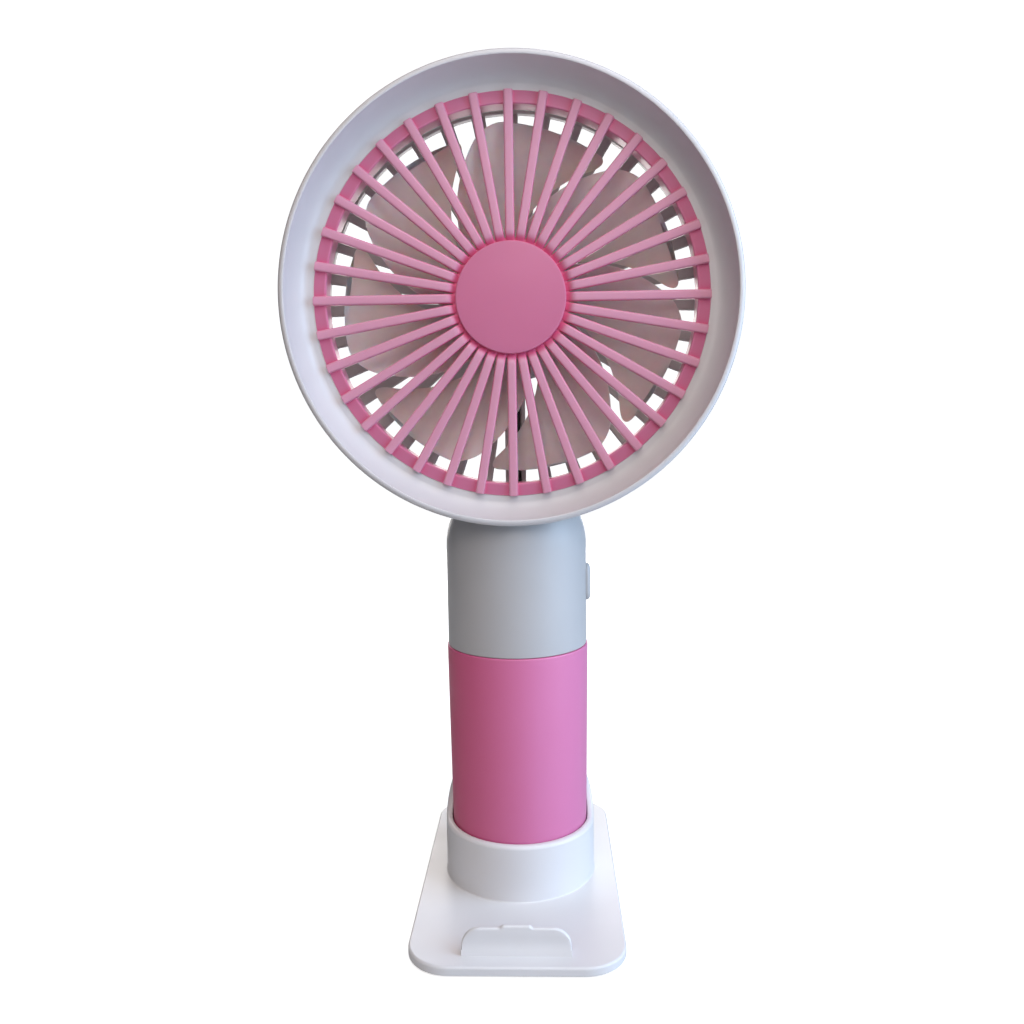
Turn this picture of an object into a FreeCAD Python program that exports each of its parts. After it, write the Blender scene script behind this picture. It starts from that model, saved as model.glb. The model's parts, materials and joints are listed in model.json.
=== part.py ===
import FreeCAD, Part
import math
import os

# Handheld electric fan standing in its desk base. Millimetres, +Z up, front faces -Y.
# The origin is on the desk, under the axis of the round handle.

V = FreeCAD.Vector
X = V(1, 0, 0)
Y = V(0, 1, 0)
Z = V(0, 0, 1)
O = V(0, 0, 0)

# ---- fits ----
GAP = 0.1           # clearance between pieces that are put together
RUN_GAP = 0.05      # radial running clearance of the shaft and other turning pieces
TOUCH = 0.02        # clearance under pieces that are soldered, glued or pressed on
OVER = 1.0          # how far a cutter runs past the surface that it cuts
SAME = 1e-6         # two coordinates closer than this are equal

# ---- desk base ----
PAD_PROUD = 0.4     # the anti-slip pad stands this far below the plate
PAD_T = 1.0
PAD_X, PAD_Y, PAD_CORNER = 36.0, 68.0, 5.0
PLATE_T = 2.0
PLATE_X = 45.3
PLATE_FRONT, PLATE_BACK = -41.5, 37.0
PLATE_CORNER = 9.0
PLATE_TOP_EDGE = 0.6            # fillet round the plate's top
PLATE_TOP = PAD_PROUD + PLATE_T
COLLAR_R = 17.7
COLLAR_H = 13.1
COLLAR_BACK_H = 21.5
COLLAR_SLOPE_Y = (-3.0, 9.0)    # the collar's rim climbs to the raised back between these
COLLAR_REACH = 30.0             # half size of the cutter that shapes the rim
STOP_X, STOP_H, STOP_T, STOP_CORNER = 22.5, 5.5, 1.6, 3.8
STOP_SETBACK = 3.7              # from the plate's front edge
STOP_TAB_X, STOP_TAB_H = 5.0, 0.5

# ---- handle ----
SLEEVE_R = (15.85, 16.45)       # at its foot and at the neck
SLEEVE_IN_R = 14.95
SLEEVE_EDGE = 0.25
SOCKET_R = 16.2                 # clears the sleeve at the height of the collar's raised back
SOCKET_PAD_R = SLEEVE_R[0]
SOCKET_PAD_T = 0.7
CAP_Z = PLATE_TOP + SOCKET_PAD_T + 2 * RUN_GAP
CAP_T = 1.3
CAP_EDGE = 0.6
PLUG_WALL, PLUG_H = 1.5, 4.0    # ring on the bottom cap that plugs into the chassis
JUNCTION_Z = 58.0
CHASSIS_R = SLEEVE_IN_R - GAP
CHASSIS_WALL = 1.8
SPIGOT_IN_R = 12.4              # inside the part of the chassis that plugs into the neck
SPIGOT_STEP = 2.0
WIRE_SLOT_X, WIRE_SLOT_DEPTH = 4.4, 0.9

# ---- battery ----
CELL_R, CELL_L, CELL_EDGE = 9.15, 65.0, 0.5
CELL_Z = CAP_Z + CAP_T + 0.5
TAB_X, TAB_Y, TAB_T = 8.0, 6.0, 0.2
CARD_R = (CELL_R - 0.3, 6.2)
CARD_T = 0.25
CELL_WIRE_R, CELL_WIRE_X = 0.5, 0.8
CELL_WIRE_Y = -(CELL_R + 1.1)
CELL_WIRE_ENDS = (CELL_Z + 1.0, CELL_Z + CELL_L - 8.0)

# ---- neck ----
NECK_R = 16.2
NECK_WALL = 2.0
DOME_Z = 81.4       # height of the dome's centre
DOME_FLAT_Z = 92.6
SHELF_Z, SHELF_T = 83.0, 1.6
STEM_R = 8.2
STEM_Y = -0.8
WIRE_HOLE_R = 1.5
INSIDE_Y = 5.0      # cutters through the neck's wall start this far from the handle's axis

# ---- screws ----
SCREW_R, SCREW_HEAD_R, SCREW_HEAD_H = 0.8, 1.5, 0.9
DRIVE_R, DRIVE_DEPTH = 0.6, 0.5
NECK_SCREW_X, NECK_SCREW_L = 5.2, 6.0
BOARD_SCREW_L = 5.0
BOSS_AT = 11.9      # distance of the board screws from the handle's axis
BOSS_ANGLES = (45, 225)
BOSS_R, BOSS_H = 1.8, 8.0
PILOT_DEPTH = 6.0

# ---- control board and what is soldered on it: sizes along X, Y and Z ----
BOARD_R, BOARD_T = 13.3, 1.2
BOARD_Z = 71.4
BOARD_TOP = BOARD_Z + BOARD_T
USB_W, USB_H, USB_WALL = 8.9, 3.2, 0.35
USB_Y = (8.6, 15.7)
USB_FLOOR_Y = 9.2
USB_TONGUE = (6.7, 5.0, 0.7)
USB_TONGUE_Y = 11.7
PIPE_ANGLE = 130.0  # around Z from +X, so the light is beside the charging socket
PIPE_R, PIPE_START, PIPE_ABOVE_BOARD = 1.0, 11.4, 1.6
LED_SIZE, LED_AT = (1.6, 1.6, 1.0), 9.8
CHIP_SIZE, CHIP_AT = (5.0, 4.4, 1.5), (-3.4, -5.0)
INDUCTOR_SIZE, INDUCTOR_AT, INDUCTOR_EDGE = (4.4, 4.4, 2.4), (3.6, -5.4), 0.7
CAPACITOR_SIZE, CAPACITOR_X, CAPACITOR_Y = (1.0, 2.0, 0.9), (-6.5, -4.6, -2.7), 1.2

# ---- power button ----
BUTTON_Z = 72.1
BUTTON_H, BUTTON_W = 8.8, 4.6
BUTTON_EDGE = 0.4
BUTTON_FACE_X = NECK_R + 1.0
FLANGE_X, FLANGE_GROW = (12.7, 13.4), 1.8
BUTTON_ROOM_X, BUTTON_ROOM_Y = (11.9, 16.0), (-4.0, 4.0)
BUTTON_ROOM_Z = (BUTTON_Z - 7, BUTTON_Z + 7)
SWITCH_X, SWITCH_Y, SWITCH_H = (7.4, 11.2), (-3.0, 3.0), 3.6
SWITCH_Z = BOARD_TOP + 1.9
SWITCH_FLOOR_X = 8.8
PLUNGER_R, PLUNGER_X = 0.8, 9.6

# ---- head ----
HEAD_Z = 135.8
LIP_Y = -20.5
LIP_R, LIP_W, LIP_EDGE = 48.1, 1.2, 0.4
BEZEL_FLOOR_Y = -12.6           # inner end of the dish, beside the grille
BEZEL_BACK_Y = -9.3
BEZEL_WALL, BEZEL_SKIN = 1.2, 0.9   # thickness of the wall round the grille and of the outer skin
BEZEL_WALL_L = 4.0
DISH_VIA = (2.85, -1.8)         # a point of the dish's arc, from its inner end
GRILLE_R, GRILLE_IN_R = 42.25, 39.5
SEAT_GAP = 0.2                  # between the grille's ring and the bezel
SPOKES = 36
SPOKE_W = 1.95
SPOKE_Y = (-13.9, -12.2)
RING_FACE_Y = (-12.5, -13.2)    # the ring's face leans outward: at its outer and at its inner edge
RING_BACK_Y = -8.6
HUB_R = 11.75
HUB_PROUD, HUB_SEAT = 0.7, 1.4  # the cap's middle stands proud of the spokes; it sits this deep in them
HUB_CROWN_R = 130.0             # radius of the cap's slightly domed face
HUB_EDGE = 0.3
DRUM_R = (46.4, 45.1)           # outside, at the bezel and at the back
DRUM_WALL = 1.8
TONGUE_L, TONGUE_T = 2.2, 0.7   # step of the drum that enters the bezel
DRUM_EDGE, DRUM_LIP = 2.0, 0.5  # soft rear edge; inward lip behind the ribs
RIB_Y = (4.6, 6.8)
RIB_W = (3.2, 1.6)              # at the drum and at the motor seat
SEAT_R, SEAT_FLOOR = 17.0, 1.2
CHANNEL_X, GROOVE_X, GROOVE_DEPTH = 4.8, 3.0, 1.3
WIRE_Y = RIB_Y[0] + 0.45
MOTOR_WIRE_R, MOTOR_WIRE_X = 0.45, 0.65
WIRE_TOP_Z = HEAD_Z - 8.4

# ---- rotor and motor, turning about the head's axis ----
BLADES = 7
BLADE_R = 37.5
BLADE_MID_Y = -3.9
BLADE_HALF_DEPTH = 4.7
BLADE_T = 1.0
BLADE_HALF_ANGLE = 21.5
BLADE_SWEEP_PER_MM = 1.5        # degrees that the blade's middle turns back per mm inward
BLADE_FIRST = 75.5
BLADE_STATIONS = 5
BLADE_ROOT_IN, BLADE_TIP_OUT = 3.0, 4.0     # the blade is lofted this much too long, then trimmed
CUP_R, CUP_WALL, CUP_EDGE, CUP_FLOOR = 12.0, 1.1, 0.8, 1.3
CUP_Y = (-10.6, 2.2)
ROTOR_BOSS_R, ROTOR_BOSS_DEPTH = 2.4, 3.2
SHAFT_R = 0.75
SHAFT_TOP_Y = CUP_Y[0] + 0.6
SHAFT_TAIL_Y = RIB_Y[1] - 1.5
CLIP_Y = RIB_Y[1] - 2.4
BUSH_BACK_Y = RIB_Y[1] - 3.0
YOKE_R, YOKE_WALL, YOKE_SHORT = 10.8, 0.7, 0.3
MAGNET_R = (9.0, 10.05)
MAGNET_OVER = (1.5, 1.2)        # the magnet is longer than the stator by this in front and behind
TUBE_R = (2.6, 3.6)
TUBE_TOP_Y = -6.4
WASHER_R, WASHER_Y = 2.2, (-6.9, -6.6)
CLIP_R, CLIP_T = 1.7, 0.3
STATOR_R = 8.6
STATOR_Y = (-4.6, 0.4)
STATOR_HUB_R, SHOE_IN_R, TOOTH_SINK = 5.0, 7.4, 0.5
TEETH, TOOTH_X, SHOE_X = 4, 2.0, 7.2
COIL_X, COIL_PROUD, COIL_R = 4.0, 0.9, (5.3, 6.9)
MOTOR_BOARD_R, MOTOR_BOARD_T = 9.6, 0.9
MOTOR_BOARD_Y = STATOR_Y[1] + 2.0
SENSOR_SIZE, SENSOR_AT = (2.6, 0.7, 1.6), 7.6


def tube(outer, inner, z0, z1, at=O, along=Z):
    """Hollow cylinder along Z (or another axis) between two positions on its axis."""
    base = at + along * z0
    body = Part.makeCylinder(outer, z1 - z0, base, along)
    if inner > 0:
        body = body.cut(Part.makeCylinder(inner, z1 - z0 + 2 * OVER, base - along * OVER, along))
    return body


def disc(radius, z0, z1, at=O, along=Z):
    return tube(radius, 0, z0, z1, at, along)


def block(x, y, z):
    """Box from (low, high) pairs."""
    return Part.makeBox(x[1] - x[0], y[1] - y[0], z[1] - z[0], V(x[0], y[0], z[0]))


def both(half):
    return (-half, half)


def centred_block(size, centre):
    return Part.makeBox(size[0], size[1], size[2], V(*centre) - V(*size) * 0.5)


def on_board(size, at):
    """Block soldered on top of the control board."""
    return centred_block(size, (at[0], at[1], BOARD_TOP + TOUCH + size[2] / 2))


def rims_at(body, axis, place):
    """Round edges of a turned body that lie in one plane across an axis."""
    def in_plane(edge):
        return all(abs(v.Point.dot(axis) - place) < SAME for v in edge.Vertexes)

    return [e for e in body.Edges if e.Closed and in_plane(e)]


def upright_edges(body):
    ends = [(e, e.Vertexes[0].Point, e.Vertexes[-1].Point) for e in body.Edges]
    return [e for e, a, b in ends if a.cross(Z).isEqual(b.cross(Z), SAME)]


def rounded_plate(size_x, y, z, corner):
    """Plate with four round vertical corners."""
    body = block(both(size_x / 2), y, z)
    return body.makeFillet(corner, upright_edges(body))


def pill(width, height, x0, x1, z):
    """Solid along X with a section of two half circles and straight sides, long way up."""
    r = width / 2
    half = height / 2 - r
    body = block((x0, x1), both(r), (z - half, z + half))
    for end in (z - half, z + half):
        body = body.fuse(disc(r, x0, x1, V(0, 0, end), X))
    return body.removeSplitter()


def head_ring(edges):
    """Turn closed edges that lie in the plane of X and Y at the head's height about the head's axis."""
    return Part.Face(Part.Wire(edges)).revolve(V(0, 0, HEAD_Z), Y, 360)


def at_head(section):
    return [V(r, y, HEAD_Z) for r, y in section]


def closed_lines(points):
    return Part.makePolygon(points + points[:1]).Edges


def head_disc(radius, y0, y1, inner=0):
    return tube(radius, inner, y0, y1, V(0, 0, HEAD_Z), Y)


def about_head(shape, degrees):
    """Copy turned about the head's axis, anticlockwise as seen from the front."""
    copy = shape.copy()
    copy.rotate(V(0, 0, HEAD_Z), -Y, degrees)
    return copy


def turned_copies(shape, count):
    return [about_head(shape, i * 360 / count) for i in range(count)]


# ---------------------------------------------------------------- desk base

def collar_cutter():
    """Everything above the collar's rim, which climbs in an S from the sides to the back."""
    low = PLATE_TOP + COLLAR_H
    high = PLATE_TOP + COLLAR_BACK_H
    y0, y1 = COLLAR_SLOPE_Y
    side = -COLLAR_REACH
    top = high + COLLAR_REACH

    def along_s(share, climb):
        return V(side, y0 + share * (y1 - y0), low + climb * (high - low))

    curve = Part.BSplineCurve()
    curve.interpolate([along_s(0, 0), along_s(0.30, 0.12), along_s(0.55, 0.60), along_s(1, 1)],
                      InitialTangent=Y, FinalTangent=Y)
    around = Part.makePolygon([V(side, y1, high), V(side, COLLAR_REACH, high), V(side, COLLAR_REACH, top),
                               V(side, -COLLAR_REACH, top), V(side, -COLLAR_REACH, low), V(side, y0, low)])
    return Part.Face(Part.Wire([curve.toShape()] + around.Edges)).extrude(X * 2 * COLLAR_REACH)


def phone_stop():
    """Low upright lip near the front edge, with round top corners and a small middle tab."""
    y = (PLATE_FRONT + STOP_SETBACK, PLATE_FRONT + STOP_SETBACK + STOP_T)
    top = PLATE_TOP + STOP_H
    lip = block(both(STOP_X / 2), y, (PLATE_TOP - OVER, top))
    corners = [e for e in lip.Edges if all(abs(v.Z - top) < SAME for v in e.Vertexes)
               and abs(e.Vertexes[0].X - e.Vertexes[1].X) < SAME]
    lip = lip.makeFillet(STOP_CORNER, corners)
    tab = block(both(STOP_TAB_X / 2), y, (top - OVER, top + STOP_TAB_H))
    return lip.fuse(tab).removeSplitter()


def pad_y():
    middle = (PLATE_FRONT + PLATE_BACK) / 2
    return (middle - PAD_Y / 2, middle + PAD_Y / 2)


def base_stand():
    plate = rounded_plate(PLATE_X, (PLATE_FRONT, PLATE_BACK), (PAD_PROUD, PLATE_TOP), PLATE_CORNER)
    top_rim = [e for e in plate.Edges if all(abs(v.Z - PLATE_TOP) < SAME for v in e.Vertexes)]
    plate = plate.makeFillet(PLATE_TOP_EDGE, top_rim)
    collar_top = PLATE_TOP + COLLAR_BACK_H
    collar = disc(COLLAR_R, PLATE_TOP - OVER, collar_top).cut(collar_cutter())
    body = plate.fuse(collar).fuse(phone_stop())
    body = body.cut(disc(SOCKET_R, PLATE_TOP, collar_top + OVER))
    recess_y = (pad_y()[0] - GAP, pad_y()[1] + GAP)
    recess = rounded_plate(PAD_X + 2 * GAP, recess_y, (-OVER, PAD_T + GAP), PAD_CORNER)
    return body.cut(recess).removeSplitter()


def base_pad():
    return rounded_plate(PAD_X, pad_y(), (0, PAD_T), PAD_CORNER)


def socket_pad():
    z0 = PLATE_TOP + RUN_GAP
    return disc(SOCKET_PAD_R, z0, z0 + SOCKET_PAD_T)


# ---------------------------------------------------------------- handle

def bottom_cap():
    flange = disc(SLEEVE_R[0] - GAP, CAP_Z, CAP_Z + CAP_T)
    flange = flange.makeFillet(CAP_EDGE, rims_at(flange, Z, CAP_Z))
    plug_r = CHASSIS_R - CHASSIS_WALL - GAP
    plug = tube(plug_r, plug_r - PLUG_WALL, CAP_Z + CAP_T - GAP, CAP_Z + CAP_T + PLUG_H)
    return flange.fuse(plug).removeSplitter()


def handle_sleeve():
    """Thin grip tube, a little slimmer at its foot."""
    z0 = CAP_Z + CAP_T + GAP
    z1 = JUNCTION_Z - GAP
    body = Part.makeCone(*SLEEVE_R, z1 - z0, Z * z0)
    body = body.makeFillet(SLEEVE_EDGE, rims_at(body, Z, z1))
    return body.cut(disc(SLEEVE_IN_R, z0 - OVER, z1 + OVER))


def boss_places():
    """Where the board screws go."""
    angles = [math.radians(a) for a in BOSS_ANGLES]
    return [V(BOSS_AT * math.cos(a), BOSS_AT * math.sin(a), 0) for a in angles]


def button_room():
    """Space behind the button, cut out of the board and of the chassis."""
    return block(BUTTON_ROOM_X, BUTTON_ROOM_Y, BUTTON_ROOM_Z)


def screw_boss(at, top):
    """Boss for a board screw, hollowed where it would meet the battery cell."""
    room_for_cell = disc(CELL_R + 4 * GAP, top - BOSS_H - OVER, top + OVER)
    return disc(BOSS_R, top - BOSS_H, top, at).cut(room_for_cell)


def handle_chassis():
    """Inner tube: full size inside the sleeve, then a spigot that plugs into the neck."""
    z0 = CAP_Z + CAP_T + GAP
    shoulder = JUNCTION_Z - GAP
    top = BOARD_Z - RUN_GAP
    body = tube(CHASSIS_R, CHASSIS_R - CHASSIS_WALL, z0, shoulder - SPIGOT_STEP)
    body = body.fuse(tube(CHASSIS_R, SPIGOT_IN_R, shoulder - SPIGOT_STEP, shoulder))
    body = body.fuse(tube(NECK_R - NECK_WALL - GAP, SPIGOT_IN_R, shoulder, top))
    for at in boss_places():
        body = body.fuse(screw_boss(at, top))
        body = body.cut(disc(SCREW_R + RUN_GAP, top - PILOT_DEPTH, top + OVER, at))
    slot_y = (-SPIGOT_IN_R - WIRE_SLOT_DEPTH, -SPIGOT_IN_R + OVER)
    wire_slot = block(both(WIRE_SLOT_X / 2), slot_y, (shoulder - SPIGOT_STEP - OVER, top + OVER))
    return body.cut(wire_slot).cut(button_room()).removeSplitter()


def battery_cell():
    body = disc(CELL_R, CELL_Z, CELL_Z + CELL_L)
    return body.makeFillet(CELL_EDGE, rims_at(body, Z, CELL_Z) + rims_at(body, Z, CELL_Z + CELL_L))


def battery_tabs():
    out = TAB_T / 2 + TOUCH
    heights = (CELL_Z - out, CELL_Z + CELL_L + out)
    return Part.makeCompound([centred_block((TAB_X, TAB_Y, TAB_T), (0, 0, z)) for z in heights])


def battery_insulators():
    lows = (CELL_Z - RUN_GAP - CARD_T, CELL_Z + CELL_L + RUN_GAP)
    return Part.makeCompound([tube(CARD_R[0], CARD_R[1], z, z + CARD_T) for z in lows])


def battery_wires():
    """One wire from each end of the cell up to the board, beside the cell at the front."""
    places = [V(x, CELL_WIRE_Y, 0) for x in both(CELL_WIRE_X)]
    return Part.makeCompound([disc(CELL_WIRE_R, z0, BOARD_Z - GAP, at)
                              for at, z0 in zip(places, CELL_WIRE_ENDS)])


# ---------------------------------------------------------------- neck

def head_envelope():
    """Outer form of the head, grown by a small clearance, used to seat the neck against it."""
    back = RIB_Y[1] + GAP
    front = LIP_Y - OVER
    return head_ring(closed_lines(at_head([
        (0, front), (LIP_R + GAP, front), (LIP_R + GAP, LIP_Y + 2 * LIP_EDGE),
        (DRUM_R[0] + GAP, BEZEL_BACK_Y), (DRUM_R[1] + GAP, back), (0, back)])))


def dome_solid(radius, z0, flat_z):
    """Cylinder that ends in a dome with a flat top."""
    body = disc(radius, z0, DOME_Z).fuse(Part.makeSphere(radius, V(0, 0, DOME_Z)))
    return body.common(disc(radius + OVER, z0, flat_z)).removeSplitter()


def neck_shell():
    shelf_cut = (SHELF_Z - OVER, SHELF_Z + SHELF_T + OVER)
    outer = dome_solid(NECK_R, JUNCTION_Z, DOME_FLAT_Z)
    inner = dome_solid(NECK_R - NECK_WALL, JUNCTION_Z - OVER, DOME_FLAT_Z - NECK_WALL)
    shelf = disc(NECK_R - NECK_WALL / 2, SHELF_Z, SHELF_Z + SHELF_T).common(outer)
    body = outer.cut(inner).fuse(shelf)
    body = body.cut(stem_form(GAP, DOME_FLAT_Z + OVER)).cut(head_envelope())
    body = body.cut(disc(WIRE_HOLE_R, *shelf_cut, V(0, WIRE_Y, 0)))
    for x in both(NECK_SCREW_X):
        body = body.cut(disc(SCREW_R + GAP, *shelf_cut, V(x, STEM_Y, 0)))
    outside = NECK_R + OVER
    body = body.cut(pill(BUTTON_W + 2 * GAP, BUTTON_H + 2 * GAP, INSIDE_Y, outside, BUTTON_Z))
    body = body.cut(usb_form(2 * GAP, INSIDE_Y, outside))
    return body.cut(pipe_form(PIPE_R + GAP, PIPE_START, outside)).removeSplitter()


def usb_form(grow, y0, y1):
    """Flat pill along Y, the outline of the charging socket."""
    z = BOARD_TOP + USB_H / 2 + TOUCH
    r = (USB_H + grow) / 2
    half = (USB_W + grow) / 2 - r
    body = block(both(half), (y0, y1), (z - r, z + r))
    for end in both(half):
        body = body.fuse(disc(r, y0, y1, V(end, 0, z), Y))
    return body.removeSplitter()


def pipe_direction():
    a = math.radians(PIPE_ANGLE)
    return V(math.cos(a), math.sin(a), 0)


def pipe_form(radius, r0, r1):
    way = pipe_direction()
    return Part.makeCylinder(radius, r1 - r0, way * r0 + V(0, 0, BOARD_TOP + PIPE_ABOVE_BOARD), way)


def screw(at, way, length):
    """Pan-head screw whose thread points along way."""
    top = at - way * SCREW_HEAD_H
    body = Part.makeCylinder(SCREW_R, length, at, way)
    body = body.fuse(Part.makeCylinder(SCREW_HEAD_R, SCREW_HEAD_H, top, way))
    return body.cut(Part.makeCylinder(DRIVE_R, DRIVE_DEPTH, top, way))


def neck_screws():
    under = SHELF_Z - RUN_GAP
    return Part.makeCompound([screw(V(x, STEM_Y, under), Z, NECK_SCREW_L) for x in both(NECK_SCREW_X)])


def board_screws():
    under = Z * (BOARD_TOP + RUN_GAP)
    return Part.makeCompound([screw(at + under, -Z, BOARD_SCREW_L) for at in boss_places()])


def control_board():
    body = disc(BOARD_R, BOARD_Z, BOARD_TOP).cut(button_room())
    for at in boss_places():
        body = body.cut(disc(SCREW_R + GAP, BOARD_Z - OVER, BOARD_TOP + OVER, at))
    return body


def usb_port():
    shell = usb_form(0, *USB_Y).cut(usb_form(-2 * USB_WALL, USB_FLOOR_Y, USB_Y[1] + OVER))
    tongue = centred_block(USB_TONGUE, (0, USB_TONGUE_Y, BOARD_TOP + USB_H / 2 + TOUCH))
    return shell.fuse(tongue)


def charge_led():
    at = pipe_direction() * LED_AT
    return on_board(LED_SIZE, (at.x, at.y))


def light_pipe():
    return pipe_form(PIPE_R, PIPE_START, NECK_R + RUN_GAP)


def charge_chip():
    return on_board(CHIP_SIZE, CHIP_AT)


def boost_inductor():
    body = on_board(INDUCTOR_SIZE, INDUCTOR_AT)
    return body.makeFillet(INDUCTOR_EDGE, upright_edges(body))


def chip_capacitors():
    return Part.makeCompound([on_board(CAPACITOR_SIZE, (x, CAPACITOR_Y)) for x in CAPACITOR_X])


# ---------------------------------------------------------------- power button

def power_button():
    """Pill-shaped cap with a flange behind the neck's wall that holds it in."""
    cap = pill(BUTTON_W, BUTTON_H, FLANGE_X[1] - GAP, BUTTON_FACE_X, BUTTON_Z)
    front = [e for e in cap.Edges if all(abs(v.X - BUTTON_FACE_X) < SAME for v in e.Vertexes)]
    cap = cap.makeFillet(BUTTON_EDGE, front)
    flange = pill(BUTTON_W + FLANGE_GROW, BUTTON_H + FLANGE_GROW, *FLANGE_X, BUTTON_Z)
    return cap.fuse(flange).removeSplitter()


def switch_plunger():
    return disc(PLUNGER_R, PLUNGER_X, FLANGE_X[0] - TOUCH, V(0, 0, SWITCH_Z), X)


def tact_switch():
    body = block(SWITCH_X, SWITCH_Y, (BOARD_TOP + TOUCH, BOARD_TOP + SWITCH_H))
    return body.cut(disc(PLUNGER_R + RUN_GAP, SWITCH_FLOOR_X, SWITCH_X[1] + OVER, V(0, 0, SWITCH_Z), X))


# ---------------------------------------------------------------- head

def head_bezel():
    """Hoop with a rounded lip in front, a dished inner skin and a short inner wall."""
    floor = BEZEL_FLOOR_Y
    seat = GRILLE_R + SEAT_GAP
    wall = seat + BEZEL_WALL
    skin = DRUM_R[0] - BEZEL_SKIN
    lip_in = LIP_R - LIP_W
    points = at_head([
        (lip_in, LIP_Y + LIP_EDGE), (lip_in + LIP_EDGE, LIP_Y), (LIP_R - LIP_EDGE, LIP_Y),
        (LIP_R, LIP_Y + LIP_EDGE), (LIP_R, LIP_Y + 2 * LIP_EDGE), (DRUM_R[0], BEZEL_BACK_Y),
        (skin, BEZEL_BACK_Y), (skin, floor - BEZEL_SKIN / 2), (wall, floor + BEZEL_WALL),
        (wall, floor + BEZEL_WALL_L), (seat, floor + BEZEL_WALL_L), (seat, floor)])
    via = V(seat + DISH_VIA[0], floor + DISH_VIA[1], HEAD_Z)
    dish = Part.Arc(points[-1], via, points[0]).toShape()
    return head_ring(Part.makePolygon(points).Edges + [dish])


def front_grille():
    """Ring, 36 straight spokes and the hub plate that the cap sits on."""
    ring = head_ring(closed_lines(at_head([
        (GRILLE_R, RING_FACE_Y[0]), (GRILLE_R, RING_BACK_Y), (GRILLE_IN_R, RING_BACK_Y),
        (GRILLE_IN_R, RING_FACE_Y[1])])))
    hub = head_disc(HUB_R + OVER, SPOKE_Y[0] + HUB_SEAT / 2, SPOKE_Y[1] + HUB_SEAT / 2)
    spoke = block(both(SPOKE_W / 2), SPOKE_Y, (HEAD_Z + HUB_R - OVER, HEAD_Z + GRILLE_R - 2 * SEAT_GAP))
    body = ring.fuse([hub] + turned_copies(spoke, SPOKES))
    return body.cut(head_disc(HUB_R + GAP, SPOKE_Y[0] - OVER, SPOKE_Y[0] + HUB_SEAT)).removeSplitter()


def grille_hub_cap():
    """Disc with a slightly domed face and a soft rim."""
    front = SPOKE_Y[0] - HUB_PROUD
    dome = Part.makeSphere(HUB_CROWN_R, V(0, front + HUB_CROWN_R, HEAD_Z))
    body = head_disc(HUB_R, front, SPOKE_Y[0] + HUB_SEAT - RUN_GAP).common(dome)
    rim_y = front + HUB_CROWN_R - math.sqrt(HUB_CROWN_R ** 2 - HUB_R ** 2)
    return body.makeFillet(HUB_EDGE, rims_at(body, Y, rim_y))


def stem_form(grow, top):
    """Round stem under the drum, cut flush with the back of the head."""
    low = SHELF_Z + SHELF_T + RUN_GAP - grow
    stem = disc(STEM_R + grow, low, top, V(0, STEM_Y, 0))
    return stem.common(block(both(2 * STEM_R), (-2 * STEM_R, RIB_Y[1] + grow), (low, top)))


def drum_ring():
    """Round wall of the rear housing, with the tongue that enters the bezel and a soft rear rim."""
    front_in = DRUM_R[0] - DRUM_WALL
    back_in = DRUM_R[1] - DRUM_WALL
    tongue = front_in + TONGUE_T
    lip = back_in - DRUM_LIP
    rear_r, rear_y = DRUM_R[1], RIB_Y[1]
    corner = 0.3 * DRUM_EDGE
    return head_ring(closed_lines(at_head([
        (front_in, BEZEL_BACK_Y - TONGUE_L), (tongue, BEZEL_BACK_Y - TONGUE_L),
        (tongue, BEZEL_BACK_Y + GAP), (DRUM_R[0], BEZEL_BACK_Y + GAP),
        (rear_r, rear_y - DRUM_EDGE), (rear_r - corner, rear_y - corner), (rear_r - DRUM_EDGE, rear_y),
        (lip, rear_y), (lip, RIB_Y[0]), (back_in, RIB_Y[0])])))


def rear_rib():
    """One rib from the motor seat to the drum, wider outside."""
    r0, r1 = SEAT_R - OVER, DRUM_R[1] - DRUM_WALL
    outer, inner = RIB_W[0] / 2, RIB_W[1] / 2
    corners = [V(-inner, 0, r0), V(inner, 0, r0), V(outer, 0, r1), V(-outer, 0, r1)]
    rib = Part.Face(Part.Wire(closed_lines(corners))).extrude(Y * (RIB_Y[1] - RIB_Y[0]))
    rib.translate(V(0, RIB_Y[0], HEAD_Z))
    return rib


def rear_housing():
    """Drum, rear ribs, motor seat with bearing tube, wire channel and the stem into the neck."""
    back_in = HEAD_Z - DRUM_R[1] + DRUM_WALL
    seat = head_disc(SEAT_R, *RIB_Y)
    bearing_tube = head_disc(TUBE_R[1], TUBE_TOP_Y, RIB_Y[0] + OVER)
    channel = block(both(CHANNEL_X / 2), RIB_Y, (back_in, HEAD_Z - SEAT_R + OVER))
    stem = stem_form(0, HEAD_Z - DRUM_R[1] + OVER)
    body = drum_ring().fuse([seat, bearing_tube, channel, stem] + turned_copies(rear_rib(), SPOKES))
    body = body.cut(head_disc(TUBE_R[0], TUBE_TOP_Y - OVER, RIB_Y[1] - SEAT_FLOOR))
    groove_y = (RIB_Y[0] - OVER, RIB_Y[0] + GROOVE_DEPTH)
    body = body.cut(block(both(GROOVE_X / 2), groove_y, (back_in, WIRE_TOP_Z)))
    body = body.cut(disc(WIRE_HOLE_R, SHELF_Z, back_in + OVER, V(0, WIRE_Y, 0)))
    for x in both(NECK_SCREW_X):
        body = body.cut(disc(SCREW_R + RUN_GAP, SHELF_Z, SHELF_Z + NECK_SCREW_L + GAP, V(x, STEM_Y, 0)))
    return body.removeSplitter()


# ---------------------------------------------------------------- rotor

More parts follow.
